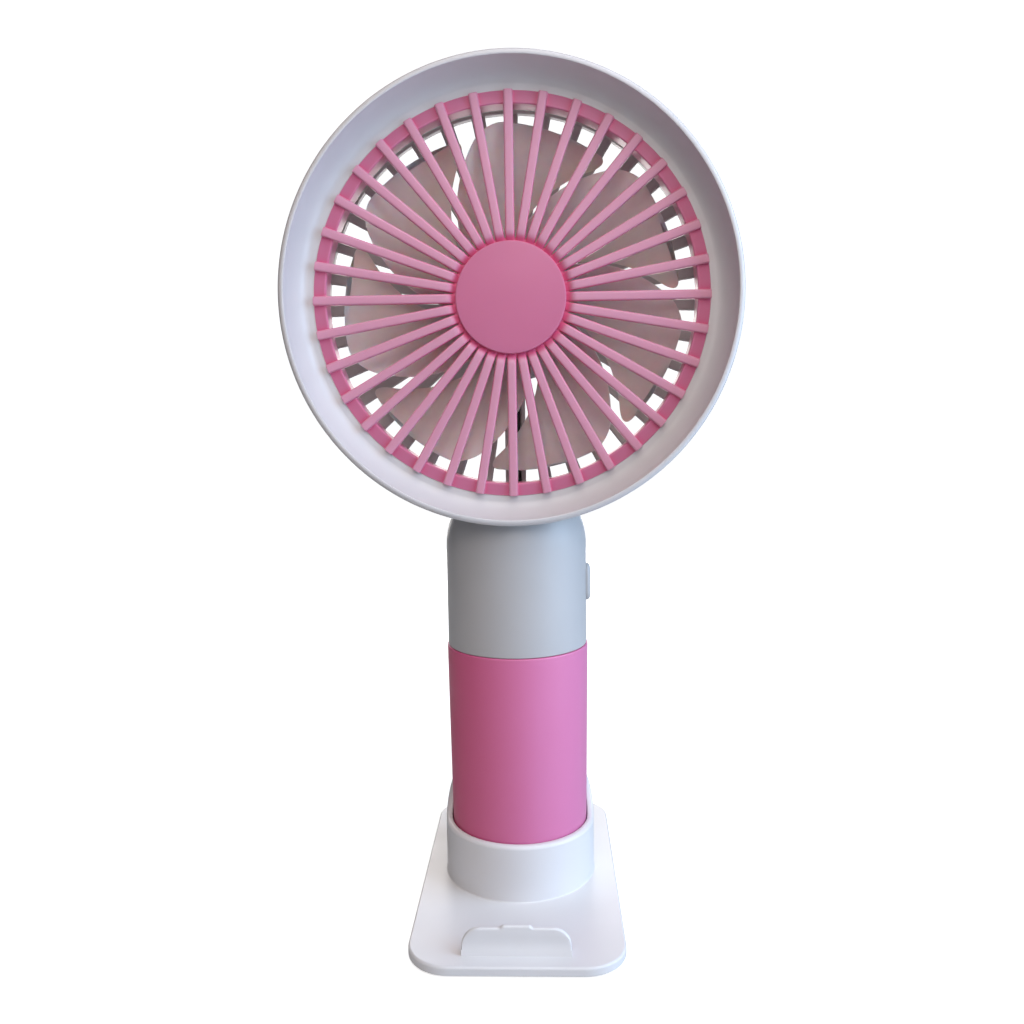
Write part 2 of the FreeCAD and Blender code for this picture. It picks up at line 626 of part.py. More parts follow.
def blade_section(r):
    """Thin slanted section of a blade at radius r, facing outward."""
    half = r * math.tan(math.radians(BLADE_HALF_ANGLE))
    b = BLADE_HALF_DEPTH
    length = math.hypot(half, b)
    nx, ny = b / length * BLADE_T / 2, half / length * BLADE_T / 2
    corners = [V(-half - nx, -b + ny, r), V(half - nx, b + ny, r),
               V(half + nx, b - ny, r), V(-half + nx, -b - ny, r)]
    wire = Part.Wire(closed_lines(corners))
    wire.translate(V(0, BLADE_MID_Y, HEAD_Z))
    wire.rotate(V(0, 0, HEAD_Z), -Y, (BLADE_R - r) * BLADE_SWEEP_PER_MM)
    return wire


def blade():
    """Swept blade, trimmed to the rotor's radius outside and to the hub inside."""
    r0, r1 = CUP_R - BLADE_ROOT_IN, BLADE_R + BLADE_TIP_OUT
    step = (r1 - r0) / (BLADE_STATIONS - 1)
    body = Part.makeLoft([blade_section(r0 + i * step) for i in range(BLADE_STATIONS)], True, False)
    return body.common(head_disc(BLADE_R, CUP_Y[0] - 2 * OVER, CUP_Y[1] + 2 * OVER, CUP_R - CUP_WALL / 2))


def fan_rotor():
    """Hub cup with seven blades and the boss that grips the shaft."""
    front = CUP_Y[0]
    cup = head_disc(CUP_R, *CUP_Y)
    cup = cup.makeFillet(CUP_EDGE, rims_at(cup, Y, front))
    cup = cup.cut(head_disc(CUP_R - CUP_WALL, front + CUP_FLOOR, CUP_Y[1] + OVER))
    boss = head_disc(ROTOR_BOSS_R, front + CUP_FLOOR - GAP, front + ROTOR_BOSS_DEPTH)
    blades = turned_copies(about_head(blade(), BLADE_FIRST - 90), BLADES)
    body = cup.fuse([boss] + blades)
    bore = head_disc(SHAFT_R + TOUCH / 2, SHAFT_TOP_Y, front + ROTOR_BOSS_DEPTH + OVER)
    return body.cut(bore).removeSplitter()


def rotor_yoke():
    y0 = CUP_Y[0] + CUP_FLOOR + RUN_GAP
    body = head_disc(YOKE_R, y0, CUP_Y[1] - YOKE_SHORT)
    body = body.cut(head_disc(YOKE_R - YOKE_WALL, y0 + YOKE_WALL, CUP_Y[1] + OVER))
    return body.cut(head_disc(ROTOR_BOSS_R + GAP, y0 - OVER, y0 + OVER))


def magnet_ring():
    return head_disc(MAGNET_R[1], STATOR_Y[0] - MAGNET_OVER[0], STATOR_Y[1] + MAGNET_OVER[1], MAGNET_R[0])


def motor_shaft():
    return head_disc(SHAFT_R, SHAFT_TOP_Y + RUN_GAP, SHAFT_TAIL_Y)


def thrust_washer():
    return head_disc(WASHER_R, *WASHER_Y, SHAFT_R + TOUCH)


def shaft_clip():
    return head_disc(CLIP_R, CLIP_Y, CLIP_Y + CLIP_T, SHAFT_R + TOUCH / 2)


def bearing_bush():
    return head_disc(TUBE_R[0] - TOUCH, TUBE_TOP_Y + 2 * GAP, BUSH_BACK_Y, SHAFT_R + RUN_GAP)


def stator_core():
    """Laminated core: a hub with four T-shaped teeth."""
    y0, y1 = STATOR_Y
    foot = HEAD_Z + STATOR_HUB_R - TOOTH_SINK
    stalk = block(both(TOOTH_X / 2), STATOR_Y, (foot, HEAD_Z + SHOE_IN_R + TOOTH_SINK))
    wedge = block(both(SHOE_X / 2), (y0 - OVER, y1 + OVER), (foot, HEAD_Z + STATOR_R + OVER))
    tooth = stalk.fuse(head_disc(STATOR_R, y0, y1, SHOE_IN_R).common(wedge))
    body = head_disc(STATOR_HUB_R, y0, y1).fuse(turned_copies(tooth, TEETH))
    return body.cut(head_disc(TUBE_R[1] + TOUCH, y0 - OVER, y1 + OVER)).removeSplitter()


def stator_windings():
    """Coil round each tooth, inside the shoe."""
    y0, y1 = STATOR_Y
    r0, r1 = (HEAD_Z + r for r in COIL_R)
    outer = block(both(COIL_X / 2), (y0 - COIL_PROUD, y1 + COIL_PROUD), (r0, r1))
    window = block(both(TOOTH_X / 2 + GAP), (y0 - GAP, y1 + GAP), (r0 - OVER, r1 + OVER))
    return Part.makeCompound(turned_copies(outer.cut(window), TEETH))


def motor_board():
    back = MOTOR_BOARD_Y + MOTOR_BOARD_T
    return head_disc(MOTOR_BOARD_R, MOTOR_BOARD_Y, back, TUBE_R[1] + RUN_GAP)


def hall_sensor():
    middle_y = MOTOR_BOARD_Y - RUN_GAP - SENSOR_SIZE[1] / 2
    return centred_block(SENSOR_SIZE, (0, middle_y, HEAD_Z + SENSOR_AT))


def motor_wires():
    """Two wires from the motor board, down the channel rib and the stem, to the control board."""
    return Part.makeCompound([disc(MOTOR_WIRE_R, BOARD_TOP + GAP, WIRE_TOP_Z, V(x, WIRE_Y, 0))
                              for x in both(MOTOR_WIRE_X)])


NODES = [base_stand, base_pad, socket_pad, bottom_cap, handle_sleeve, handle_chassis, battery_cell,
         battery_tabs, battery_insulators, battery_wires, neck_shell, neck_screws, board_screws,
         control_board, usb_port, charge_led, light_pipe, charge_chip, boost_inductor, chip_capacitors,
         power_button, switch_plunger, tact_switch, head_bezel, front_grille, grille_hub_cap,
         rear_housing, fan_rotor, rotor_yoke, magnet_ring, motor_shaft, thrust_washer, shaft_clip,
         bearing_bush, stator_core, stator_windings, motor_board, hall_sensor, motor_wires]

os.makedirs("parts", exist_ok=True)
for make in NODES:
    make().exportStep(os.path.join("parts", make.__name__ + ".step"))
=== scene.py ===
import json
import math

import bmesh
import bpy
from mathutils import Matrix, Vector


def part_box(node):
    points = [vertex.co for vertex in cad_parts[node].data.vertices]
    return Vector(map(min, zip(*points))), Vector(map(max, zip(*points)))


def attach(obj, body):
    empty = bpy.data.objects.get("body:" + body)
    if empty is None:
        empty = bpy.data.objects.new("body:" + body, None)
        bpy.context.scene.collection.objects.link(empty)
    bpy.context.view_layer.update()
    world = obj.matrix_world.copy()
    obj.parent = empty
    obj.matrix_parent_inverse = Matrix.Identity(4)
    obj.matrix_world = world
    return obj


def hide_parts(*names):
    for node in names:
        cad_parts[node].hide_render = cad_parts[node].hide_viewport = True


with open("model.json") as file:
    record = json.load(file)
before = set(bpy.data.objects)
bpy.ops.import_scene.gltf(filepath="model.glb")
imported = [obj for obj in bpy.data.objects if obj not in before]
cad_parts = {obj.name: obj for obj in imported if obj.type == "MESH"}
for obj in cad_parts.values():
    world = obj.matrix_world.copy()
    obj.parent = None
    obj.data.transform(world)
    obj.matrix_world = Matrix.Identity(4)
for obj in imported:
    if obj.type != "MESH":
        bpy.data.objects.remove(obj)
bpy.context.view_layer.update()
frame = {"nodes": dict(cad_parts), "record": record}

# Looks of a handheld fan on its desk base. Shapes are worked out in millimetres and stored in metres.
# The front faces -Y and +Z is up. "Head" shapes turn about the head's axis, which runs along Y.

MM = 0.001


def span(node):
    """Lowest and highest corners of a CAD node, in millimetres."""
    low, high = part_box(node)
    return low / MM, high / MM


# ---- places read from the frame ----
BEZEL_LOW, BEZEL_HIGH = span("head_bezel")
GRILLE_LOW, GRILLE_HIGH = span("front_grille")
CAP_LOW, CAP_HIGH = span("grille_hub_cap")
HOUSING_LOW, HOUSING_HIGH = span("rear_housing")
ROTOR_LOW, ROTOR_HIGH = span("fan_rotor")
NECK_LOW, NECK_HIGH = span("neck_shell")
SLEEVE_LOW, SLEEVE_HIGH = span("handle_sleeve")
BOTTOM_LOW, BOTTOM_HIGH = span("bottom_cap")
STAND_LOW, STAND_HIGH = span("base_stand")
PAD_LOW, PAD_HIGH = span("base_pad")
DISC_LOW, DISC_HIGH = span("socket_pad")
BUTTON_LOW, BUTTON_HIGH = span("power_button")
USB_LOW, USB_HIGH = span("usb_port")
PIPE_LOW, PIPE_HIGH = span("light_pipe")

HEAD_Z = (BEZEL_LOW.z + BEZEL_HIGH.z) / 2
LIP_R = (BEZEL_HIGH.x - BEZEL_LOW.x) / 2
LIP_Y = BEZEL_LOW.y
GRILLE_R = (GRILLE_HIGH.x - GRILLE_LOW.x) / 2
SPOKE_FRONT = GRILLE_LOW.y
RING_BACK = GRILLE_HIGH.y
CAP_R = (CAP_HIGH.x - CAP_LOW.x) / 2
DRUM_R = (HOUSING_HIGH.x - HOUSING_LOW.x) / 2
HOUSING_BACK = 6.8
NECK_R = (NECK_HIGH.x - NECK_LOW.x) / 2
SLEEVE_R = (15.85, (SLEEVE_HIGH.x - SLEEVE_LOW.x) / 2)    # at its foot and at the neck
PLATE_TOP = DISC_LOW.z - 0.05     # the socket's disc lies just clear of the plate

# ---- head ----
SPOKES = 36
SPOKE_W = 1.95
SPOKE_DEPTH = 1.7
SPOKE_CROWN = 0.06              # a spoke's front is this much higher in its middle
SPOKE_DIP, SPOKE_DIP_L = 1.0, 1.9       # roll of its inner end beside the cap, and that roll's length
SPOKE_TIP, SPOKE_TIP_L = 0.1, 0.25      # softening of its outer end, and its length
HUB_PLATE_SINK, HUB_PLATE_T = 1.15, 1.4     # disc that joins the spokes, below their fronts
HUB_PLATE_R = CAP_R + 0.9
RING_IN_R = 39.5
RING_FACE_Y = (-12.75, -13.2)   # the ring's face at its outer and inner edge
CAP_CROWN_R = 130.0
CAP_RIM = 0.3
LIP_W = 1.4
LIP_RIDGE = 0.25                # the lip's inner edge lies this far behind its front
LIP_SHOULDER = (1.0, 1.3)       # rounding of the lip's outside, across and along the head's axis
BEZEL_FLOOR_Y = -12.6           # inner end of the bezel's dish
DISH_FLOOR = 1.2                # flat part of the dish, next to the grille
BEZEL_WALL, BEZEL_SKIN = 1.2, 0.9
BEZEL_BACK_Y = -9.3
SEAT_LINE = 0.04                # visible joint between the grille and the bezel
RIB_FRONT = 4.6
RIB_W = (1.6, 3.2)              # at the motor seat and at the drum
SEAT_R = 17.0
SEAT_RIM = 3.0                  # width of the raised rim on the motor seat's back
SEAT_RIM_UP = 0.1               # the rim stands this far behind the ribs
SEAT_DISH = 0.5                 # and this far behind the dish inside it
BEARING_R, BEARING_IN_R = 3.6, 2.6
BEARING_FRONT = -6.4
DRUM_WALL = 1.8
DRUM_BACK_R = 45.1
DRUM_TONGUE, DRUM_TONGUE_STEP = 2.2, 0.7    # it enters the bezel
CHANNEL_HALF, GROOVE_HALF = 2.4, 1.5        # rib that hides the motor's wires, and the groove in it
STEM_R, STEM_FLAT_Y = 8.2, 7.5  # round stem with a flat back, in the neck's upper opening
STEM_Y = -0.8
STEM_IN_DRUM = 1.2
STEM_BORE_R = 1.5
STEM_BORE_UP = 40.0             # the bore ends this far below the head's axis

# ---- rotor ----
BLADES = 7
BLADE_R = 37.5
BLADE_MID_Y = -3.9
BLADE_HALF_DEPTH = 4.7
BLADE_HALF_ANGLE = math.radians(21.5)
BLADE_SWEEP = math.radians(1.5)     # turn of the blade's middle per millimetre inward
BLADE_FIRST = math.radians(75.5)
BLADE_CORNER = 3.6
BLADE_T = 0.8
BLADE_THIN = 0.55               # part of the thickness lost at the front and rear edges
BLADE_CAMBER = 0.7
BLADE_ROOT = 0.5                # sunk in the cup's wall
CUP_R, CUP_WALL = 12.0, 1.1
CUP_FLOOR = 1.3
SHAFT_BOSS_R, SHAFT_BOSS_L = 2.4, 3.2
SHAFT_BORE_R, SHAFT_BORE_FLOOR = 0.76, 0.6

# ---- handle ----
SLEEVE_IN_R = 14.95
FOOT_T = 1.3                    # thickness of the bottom cap
FOOT_DISH = 0.4
FOOT_RING = 4.6                 # width of the ring it stands on
PLUG_R, PLUG_IN_R = 12.95, 11.45

# ---- neck and button ----
NECK_WALL = 2.0
NECK_CEILING_Z = 83.0
NECK_SHELF_Z = 84.6             # floor of the upper opening, which holds the head's stem
NECK_OPENING_R, NECK_OPENING_Y = 8.3, 7.7
DOME_Z = 81.4
DOME_EDGE = 1.4
BUTTON_W, BUTTON_H = 4.6, 8.8
BUTTON_ROOM = 0.3               # added to its opening's width and height
BUTTON_CROWN = (0.9, 1.3)       # rounding of its face, outward and across
FLANGE_GROW, FLANGE_X = 1.8, 13.4
USB_OPEN_W, USB_OPEN_H = 9.1, 3.4
PIPE_HOLE_R = 1.1

# ---- desk base ----
COLLAR_R = 17.7
SOCKET_R = 16.2
COLLAR_SIDE_Z = PLATE_TOP + 13.1
COLLAR_FOOT = 0.35              # soft foot on the plate
COLLAR_EDGE = (0.15, 0.9)       # rounding of the rim, inside and outside
COLLAR_BACK_Z = STAND_HIGH.z
COLLAR_SLOPE_Y = (-3.0, 9.0)
SUNK = 0.6                      # the collar goes this far into the plate
PLATE_CORNER = 9.0
PLATE_EDGES = (0.55, 0.3)       # rounding of the plate's top and bottom edges
PAD_CORNER = 5.0
PAD_ROOM = 0.1
STOP_X, STOP_H, STOP_CORNER = 22.5, 5.5, 3.9
STOP_SUNK, STOP_EDGE = 0.5, 0.5
STOP_FACE_Y, STOP_TOP_Y = 0.91, 1.48    # its upright face and the middle of its top, from its foot
STOP_BACK_Y = (2.05, 2.3)       # its back, above and at the plate
STOP_FRONT = STAND_LOW.y + 3.7
STOP_TAB_X, STOP_TAB_H, STOP_TAB_RAMP = 5.0, 0.5, 1.0

# ---- main colours ----
GRILLE_PINK = (0.530, 0.152, 0.262)
# paler pink painted on the bars: painted light
BAR_LIT_PINK = (0.600, 0.268, 0.372)
# deeper pink painted in recesses and narrow gaps: painted shade
RECESS_SHADE_PINK = (0.660, 0.085, 0.215)
# sleeve colours for faces turned away from and towards the window light: painted shade and painted light
SLEEVE_SHADE_ROSE = (0.620, 0.070, 0.185)
SLEEVE_LIT_LILAC = (0.610, 0.165, 0.350)

# ---- lights, in watts, the height they aim at and the world's brightness ----
WINDOW_WAY = (0.94, -0.33, 0.0)     # where the window is, seen from the object
KEY_POWER = 3.6
TOP_POWER = 1.2
FRONT_POWER = 1.2
REAR_POWER = 1.8
LIGHT_AIM_Z = 95.0
WORLD_LIGHT = 0.07

# ---- camera: the viewing position of a person at the desk ----
CAMERA_AT = (6.48, -211.7, 112.9)
CAMERA_PITCH = math.radians(6.57)
CAMERA_YAW = math.radians(-1.99)
CAMERA_ROLL = math.radians(-0.84)
CAMERA_LENS, CAMERA_SENSOR = 32.27, 36.0

ROUND_STEPS = 192
SOFT_EDGE = 0.05        # bevel on the CAD pieces inside, in millimetres
SHARP_ANGLE = math.radians(32)
NOISE_RANGE = (0.3, 0.7)    # nearly all values of a noise node lie in here


# ================================================================ outlines

def rounded(points, steps=6):
    """Closed outline through (x, y, corner radius) points, with an arc at each rounded corner."""
    path = []
    count = len(points)
    for i, (x, y, radius) in enumerate(points):
        here = Vector((x, y))
        if radius <= 0:
            path.append(here)
            continue
        before = (Vector(points[i - 1][:2]) - here).normalized()
        after = (Vector(points[(i + 1) % count][:2]) - here).normalized()
        half = before.angle(after) / 2
        reach = radius / math.tan(half)
        centre = here + (before + after).normalized() * radius / math.sin(half)
        start = here + before * reach - centre
        end = here + after * reach - centre
        turn = math.atan2(start.x * end.y - start.y * end.x, start.dot(end))
        for k in range(steps + 1):
            path.append(centre + Matrix.Rotation(turn * k / steps, 2) @ start)
    return path


def smooth_step(t):
    t = min(1.0, max(0.0, t))
    return t * t * (3 - 2 * t)


def quarter_turn(steps):
    """Angles from 0 to a right angle, both included."""
    return [math.pi / 2 * i / steps for i in range(steps + 1)]


# ================================================================ meshes

def linked(name, data):
    """Object in the scene for a mesh, light or camera."""
    obj = bpy.data.objects.new(name, data)
    bpy.context.scene.collection.objects.link(obj)
    return obj


def new_object(name, verts, faces):
    """Object from millimetre points, with outward normals."""
    mesh = bpy.data.meshes.new(name)
    mesh.from_pydata([Vector(v) * MM for v in verts], [], faces)
    bm = bmesh.new()
    bm.from_mesh(mesh)
    bmesh.ops.remove_doubles(bm, verts=bm.verts, dist=1e-7)
    bmesh.ops.recalc_face_normals(bm, faces=bm.faces)
    bm.to_mesh(mesh)
    bm.free()
    return linked(name, mesh)


def grid_faces(rows, cols, wrap_rows, wrap_cols):
    """Quads of a grid of points stored row by row."""
    faces = []
    for i in range(rows if wrap_rows else rows - 1):
        for j in range(cols if wrap_cols else cols - 1):
            a, b = i % rows, (i + 1) % rows
            c, d = j % cols, (j + 1) % cols
            faces.append((a * cols + c, a * cols + d, b * cols + d, b * cols + c))
    return faces


def on_head(r, y, angle):
    """Point about the head's axis; angles run anticlockwise as seen from the front."""
    return (r * math.cos(angle), y, HEAD_Z + r * math.sin(angle))


def on_handle(r, z, angle):
    return (r * math.cos(angle), r * math.sin(angle), z)


def lathe(name, outline, place, steps=ROUND_STEPS):
    """Turn a closed (radius, height) outline. Points on the axis close it with a pole."""
    verts = [place(max(r, 0.0), h, 2 * math.pi * i / steps) for i in range(steps) for r, h in outline]
    return new_object(name, verts, grid_faces(steps, len(outline), True, True))


def loft(name, sections):
    """Closed solid through rings of points with the same count, with flat ends."""
    cols = len(sections[0])
    verts = [p for ring in sections for p in ring]
    faces = grid_faces(len(sections), cols, False, True)
    faces.append(tuple(range(cols)))
    faces.append(tuple(range((len(sections) - 1) * cols, len(sections) * cols)))
    return new_object(name, verts, faces)


def turn_about_head(angle):
    to_axis = Matrix.Translation((0, 0, HEAD_Z * MM))
    return to_axis @ Matrix.Rotation(angle, 4, "Y") @ to_axis.inverted()


def copies_about_head(name, obj, count):
    """Copies of obj at even angles about the head's axis, as separate shells of one object."""
    bm = bmesh.new()
    for i in range(count):
        copy = obj.data.copy()
        copy.transform(turn_about_head(2 * math.pi * i / count))
        bm.from_mesh(copy)
    bpy.data.objects.remove(obj)
    mesh = bpy.data.meshes.new(name)
    bm.to_mesh(mesh)
    bm.free()
    return linked(name, mesh)


def boolean(obj, tool, operation):
    """Apply one boolean and remove the tool."""
    modifier = obj.modifiers.new("bool", "BOOLEAN")
    modifier.operation = operation
    modifier.solver = "MANIFOLD"
    modifier.object = tool
    bake_modifiers(obj)
    bpy.data.objects.remove(tool)
    return obj


def bake_modifiers(obj):
    """Replace the mesh with its modified form."""
    bpy.context.view_layer.update()
    graph = bpy.context.evaluated_depsgraph_get()
    mesh = bpy.data.meshes.new_from_object(obj.evaluated_get(graph))
    obj.modifiers.clear()
    obj.data = mesh


def shade(obj):
    """Smooth faces, sharp creases, and normals weighted so that flat faces stay flat."""
    for polygon in obj.data.polygons:
        polygon.use_smooth = True
    obj.data.set_sharp_from_angle(angle=SHARP_ANGLE)
    weighted = obj.modifiers.new("weighted", "WEIGHTED_NORMAL")
    weighted.keep_sharp = True
    weighted.weight = 80


def piece(obj, body, slot, node, material=None):
    """Shade, paint and attach a finished piece that stands for a CAD node."""
    obj.data.materials.clear()
    obj.data.materials.append(material or MATERIALS[slot])
    shade(obj)
    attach(obj, body)
    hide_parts(node)


# ================================================================ materials

class Nodes:
    """Short way to write a material's node tree."""

    def __init__(self, name):
        self.material = bpy.data.materials.new(name)
        self.material.use_nodes = True
        self.tree = self.material.node_tree
        self.shader = self.tree.nodes["Principled BSDF"]
        self.place = self.add("ShaderNodeTexCoord").outputs["Object"]

    def add(self, kind, **values):
        node = self.tree.nodes.new(kind)
        for key, value in values.items():
            setattr(node, key, value)
        return node

    def link(self, source, target):
        self.tree.links.new(source, target)

    def noise(self, per_mm, detail=3.0, roughness=0.5, stretch=(1, 1, 1)):
        """Noise with about per_mm features in a millimetre; a small stretch factor draws it out."""
        mapping = self.add("ShaderNodeMapping")
        mapping.inputs["Scale"].default_value = stretch
        self.link(self.place, mapping.inputs["Vector"])
        node = self.add("ShaderNodeTexNoise")
        node.inputs["Scale"].default_value = per_mm / MM
        node.inputs["Detail"].default_value = detail
        node.inputs["Roughness"].default_value = roughness
        self.link(mapping.outputs["Vector"], node.inputs["Vector"])
        return node.outputs["Fac"]

    def bands(self, per_mm, direction, distortion=0.0):
        node = self.add("ShaderNodeTexWave", wave_type="BANDS", bands_direction=direction)
        node.inputs["Scale"].default_value = per_mm / MM * 0.05
        node.inputs["Distortion"].default_value = distortion
        self.link(self.place, node.inputs["Vector"])
        return node.outputs["Fac"]

    def cells(self, per_mm, feature="F1"):
        node = self.add("ShaderNodeTexVoronoi", feature=feature)
        node.inputs["Scale"].default_value = per_mm / MM
        self.link(self.place, node.inputs["Vector"])
        return node.outputs["Distance"]

    def remap(self, value, low, high, to_low, to_high):
        node = self.add("ShaderNodeMapRange")
        node.inputs["From Min"].default_value = low
        node.inputs["From Max"].default_value = high
        node.inputs["To Min"].default_value = to_low
        node.inputs["To Max"].default_value = to_high
        self.link(value, node.inputs["Value"])
        return node.outputs["Result"]

    def spread(self, noise, to_low, to_high):
        """Noise stretched so that nearly all of it fills a range."""
        return self.remap(noise, *NOISE_RANGE, to_low, to_high)

    def mix(self, factor, first, second):
        """Colour between two colours or sockets."""
        node = self.add("ShaderNodeMix", data_type="RGBA")
        self.link(factor, node.inputs["Factor"])
        for socket, value in ((node.inputs[6], first), (node.inputs[7], second)):
            if isinstance(value, tuple):
                socket.default_value = (*value, 1.0)
            else:
                self.link(value, socket)
        return node.outputs[2]

    def edges(self, radius_mm, amount=1.0):
        """Mask that reaches amount on convex and concave edges and is 0 on open faces."""
        bevel = self.add("ShaderNodeBevel", samples=4)
        bevel.inputs["Radius"].default_value = radius_mm * MM
        normal = self.add("ShaderNodeNewGeometry").outputs["Normal"]
        dot = self.add("ShaderNodeVectorMath", operation="DOT_PRODUCT")
        self.link(bevel.outputs["Normal"], dot.inputs[0])
        self.link(normal, dot.inputs[1])
        return self.remap(dot.outputs["Value"], 1.0, 0.8, 0.0, amount)

    def open_sky(self, reach_mm):
        """Mask that is 1 on open faces and falls in recesses and narrow gaps."""
        node = self.add("ShaderNodeAmbientOcclusion", samples=4)
        node.inputs["Distance"].default_value = reach_mm * MM
        return self.remap(node.outputs["AO"], 0.45, 0.95, 0.0, 1.0)

    def along(self, axis):
        """Position along an axis, in millimetres."""
        split = self.add("ShaderNodeSeparateXYZ")
        self.link(self.place, split.inputs[0])
        return self.product(split.outputs[axis], 1 / MM)

    def off_head_axis(self):
        """Distance from the axis of the head, in millimetres."""
        across = self.add("ShaderNodeVectorMath", operation="MULTIPLY_ADD")
        self.link(self.place, across.inputs[0])
        across.inputs[1].default_value = (1, 0, 1)
        across.inputs[2].default_value = (0, 0, -HEAD_Z * MM)
        length = self.add("ShaderNodeVectorMath", operation="LENGTH")
        self.link(across.outputs[0], length.inputs[0])
        return self.product(length.outputs["Value"], 1 / MM)

    def product(self, value, factor):
        """Value times a number or a socket."""
        node = self.add("ShaderNodeMath", operation="MULTIPLY")
        self.link(value, node.inputs[0])
        if isinstance(factor, float):
            node.inputs[1].default_value = factor
        else:
            self.link(factor, node.inputs[1])
        return node.outputs[0]

    def facing(self, way, low, high):
        """0 to 1 as a face turns towards a direction, between two cosines."""
        dot = self.add("ShaderNodeVectorMath", operation="DOT_PRODUCT")
        self.link(self.add("ShaderNodeNewGeometry").outputs["Normal"], dot.inputs[0])
        dot.inputs[1].default_value = way
        return self.remap(dot.outputs["Value"], low, high, 0.0, 1.0)

    def bump(self, height, strength, depth_mm):
        node = self.add("ShaderNodeBump")
        node.inputs["Strength"].default_value = strength
        node.inputs["Distance"].default_value = depth_mm * MM
        self.link(height, node.inputs["Height"])
        self.link(node.outputs["Normal"], self.shader.inputs["Normal"])

    def set(self, **values):
        """Principled inputs, with underscores for spaces; a tuple is a colour, a socket is linked."""
        for key, value in values.items():
            socket = self.shader.inputs[key.replace("_", " ")]
            if isinstance(value, tuple):
                socket.default_value = (*value, 1.0)
            elif isinstance(value, (int, float)):
                socket.default_value = value
            else:
                self.link(value, socket)
        return self.material


def scaled(colour, factor):
    return tuple(min(1.0, c * factor) for c in colour)


def plastic(name, colour, roughness, grain_mm=0.25, grain=0.06, mottle=0.04, worn=1.12):
    """Moulded plastic: faint mottle, fine spark-eroded grain, edges rubbed a little lighter."""
    n = Nodes(name)
    cloud = n.spread(n.noise(0.05, 2.0), 0.0, 1.0)
    body = n.mix(cloud, scaled(colour, 1 - mottle), scaled(colour, 1 + mottle))
    tone = n.mix(n.edges(0.35, 0.6), body, scaled(colour, worn))
    fine = n.noise(1 / grain_mm, 4.0, 0.6)
    rough = n.spread(n.noise(0.12, 3.0), roughness - 0.04, roughness + 0.05)
    n.bump(fine, grain, 0.05)
    return n.set(Base_Color=tone, Roughness=rough)


def metal(name, colour, roughness, stretch=(1, 1, 1), per_mm=4.0, grain=0.1):
    """Metal with fine lines or specks; edges polished brighter."""
    n = Nodes(name)
    lines = n.noise(per_mm, 4.0, 0.6, stretch)
    tone = n.mix(lines, scaled(colour, 0.82), scaled(colour, 1.12))
    tone = n.mix(n.edges(0.15, 0.5), tone, scaled(colour, 1.3))
    n.bump(lines, grain, 0.02)
    rough = n.spread(lines, roughness - 0.07, roughness + 0.1)
    return n.set(Base_Color=tone, Metallic=1.0, Roughness=rough)


# white for the neck and button, darker than the bezel's copy of the same plastic: painted shade for the
# head shading the neck
def shell_white():
    return plastic("shell_white", (0.435, 0.428, 0.435), 0.40, 0.22, 0.05, 0.025, 1.15)


# the same white plastic as shell_white, painted lighter for the bezel: painted light
def bezel_white_lit():
    return plastic("bezel_white_lit", (0.570, 0.548, 0.553), 0.40, 0.22, 0.05, 0.025, 1.15)


def base_white():
    return plastic("base_white", (0.690, 0.680, 0.690), 0.36, 0.35, 0.04, 0.02, 1.12)


def housing_grey():
    return plastic("housing_grey", (0.590, 0.555, 0.560), 0.45, 0.25, 0.06, 0.03, 1.12)


def grille_pink():
    """Moulded pink; the bars are painted paler than the ring behind them and the cap, as painted light
    for the light through the thin bars and their sheen, and recesses are painted deeper pink as painted
    shade.
    """
    n = Nodes("grille_pink")
    cloud = n.spread(n.noise(0.05, 2.0), 0.0, 1.0)
    body = n.mix(cloud, scaled(GRILLE_PINK, 0.97), scaled(GRILLE_PINK, 1.03))
    above_ring = n.remap(n.along("Y"), SPOKE_FRONT + 0.1, RING_FACE_Y[1] + 0.1, 1.0, 0.0)
    past_cap = n.remap(n.off_head_axis(), CAP_R + 0.1, HUB_PLATE_R, 0.0, 1.0)
    # painted light: paler pink on the bars in front of the ring, past the cap
    body = n.mix(n.product(above_ring, past_cap), body, BAR_LIT_PINK)
    # painted shade: deeper pink where the occlusion mask falls in recesses and gaps
    body = n.mix(n.open_sky(3.0), RECESS_SHADE_PINK, body)
    body = n.mix(n.edges(0.5, 0.35), body, (0.800, 0.430, 0.570))
    n.bump(n.noise(5.0, 4.0, 0.6), 0.05, 0.05)
    rough = n.spread(n.noise(0.12, 3.0), 0.32, 0.42)
    return n.set(Base_Color=body, Roughness=rough, Specular_IOR_Level=0.25,
                 Subsurface_Weight=0.08, Subsurface_Scale=0.001)


def sleeve_pink():
    """Pink lacquer painted rose on faces turned away from the window light and lilac on faces turned to
    it, as painted shade and painted light; fine speckle, faint hand wear.
    """
    n = Nodes("sleeve_pink")
    # painted light and shade: rose where the sleeve faces away from the window light, lilac where it
    # faces it
    window_shading = n.mix(n.facing(WINDOW_WAY, -0.75, 0.60), SLEEVE_SHADE_ROSE, SLEEVE_LIT_LILAC)
    body = n.mix(n.spread(n.noise(0.06, 2.0), 0.0, 0.06), window_shading, SLEEVE_SHADE_ROSE)
    speckle = n.noise(9.0, 2.0)
    body = n.mix(n.remap(speckle, 0.62, 0.75, 0.0, 0.10), body, (0.85, 0.45, 0.60))
    body = n.mix(n.edges(0.3, 0.4), body, (0.86, 0.42, 0.58))
    n.bump(speckle, 0.05, 0.03)
    rough = n.spread(n.noise(0.1, 3.0), 0.42, 0.52)
    return n.set(Base_Color=body, Roughness=rough, Specular_IOR_Level=0.7)


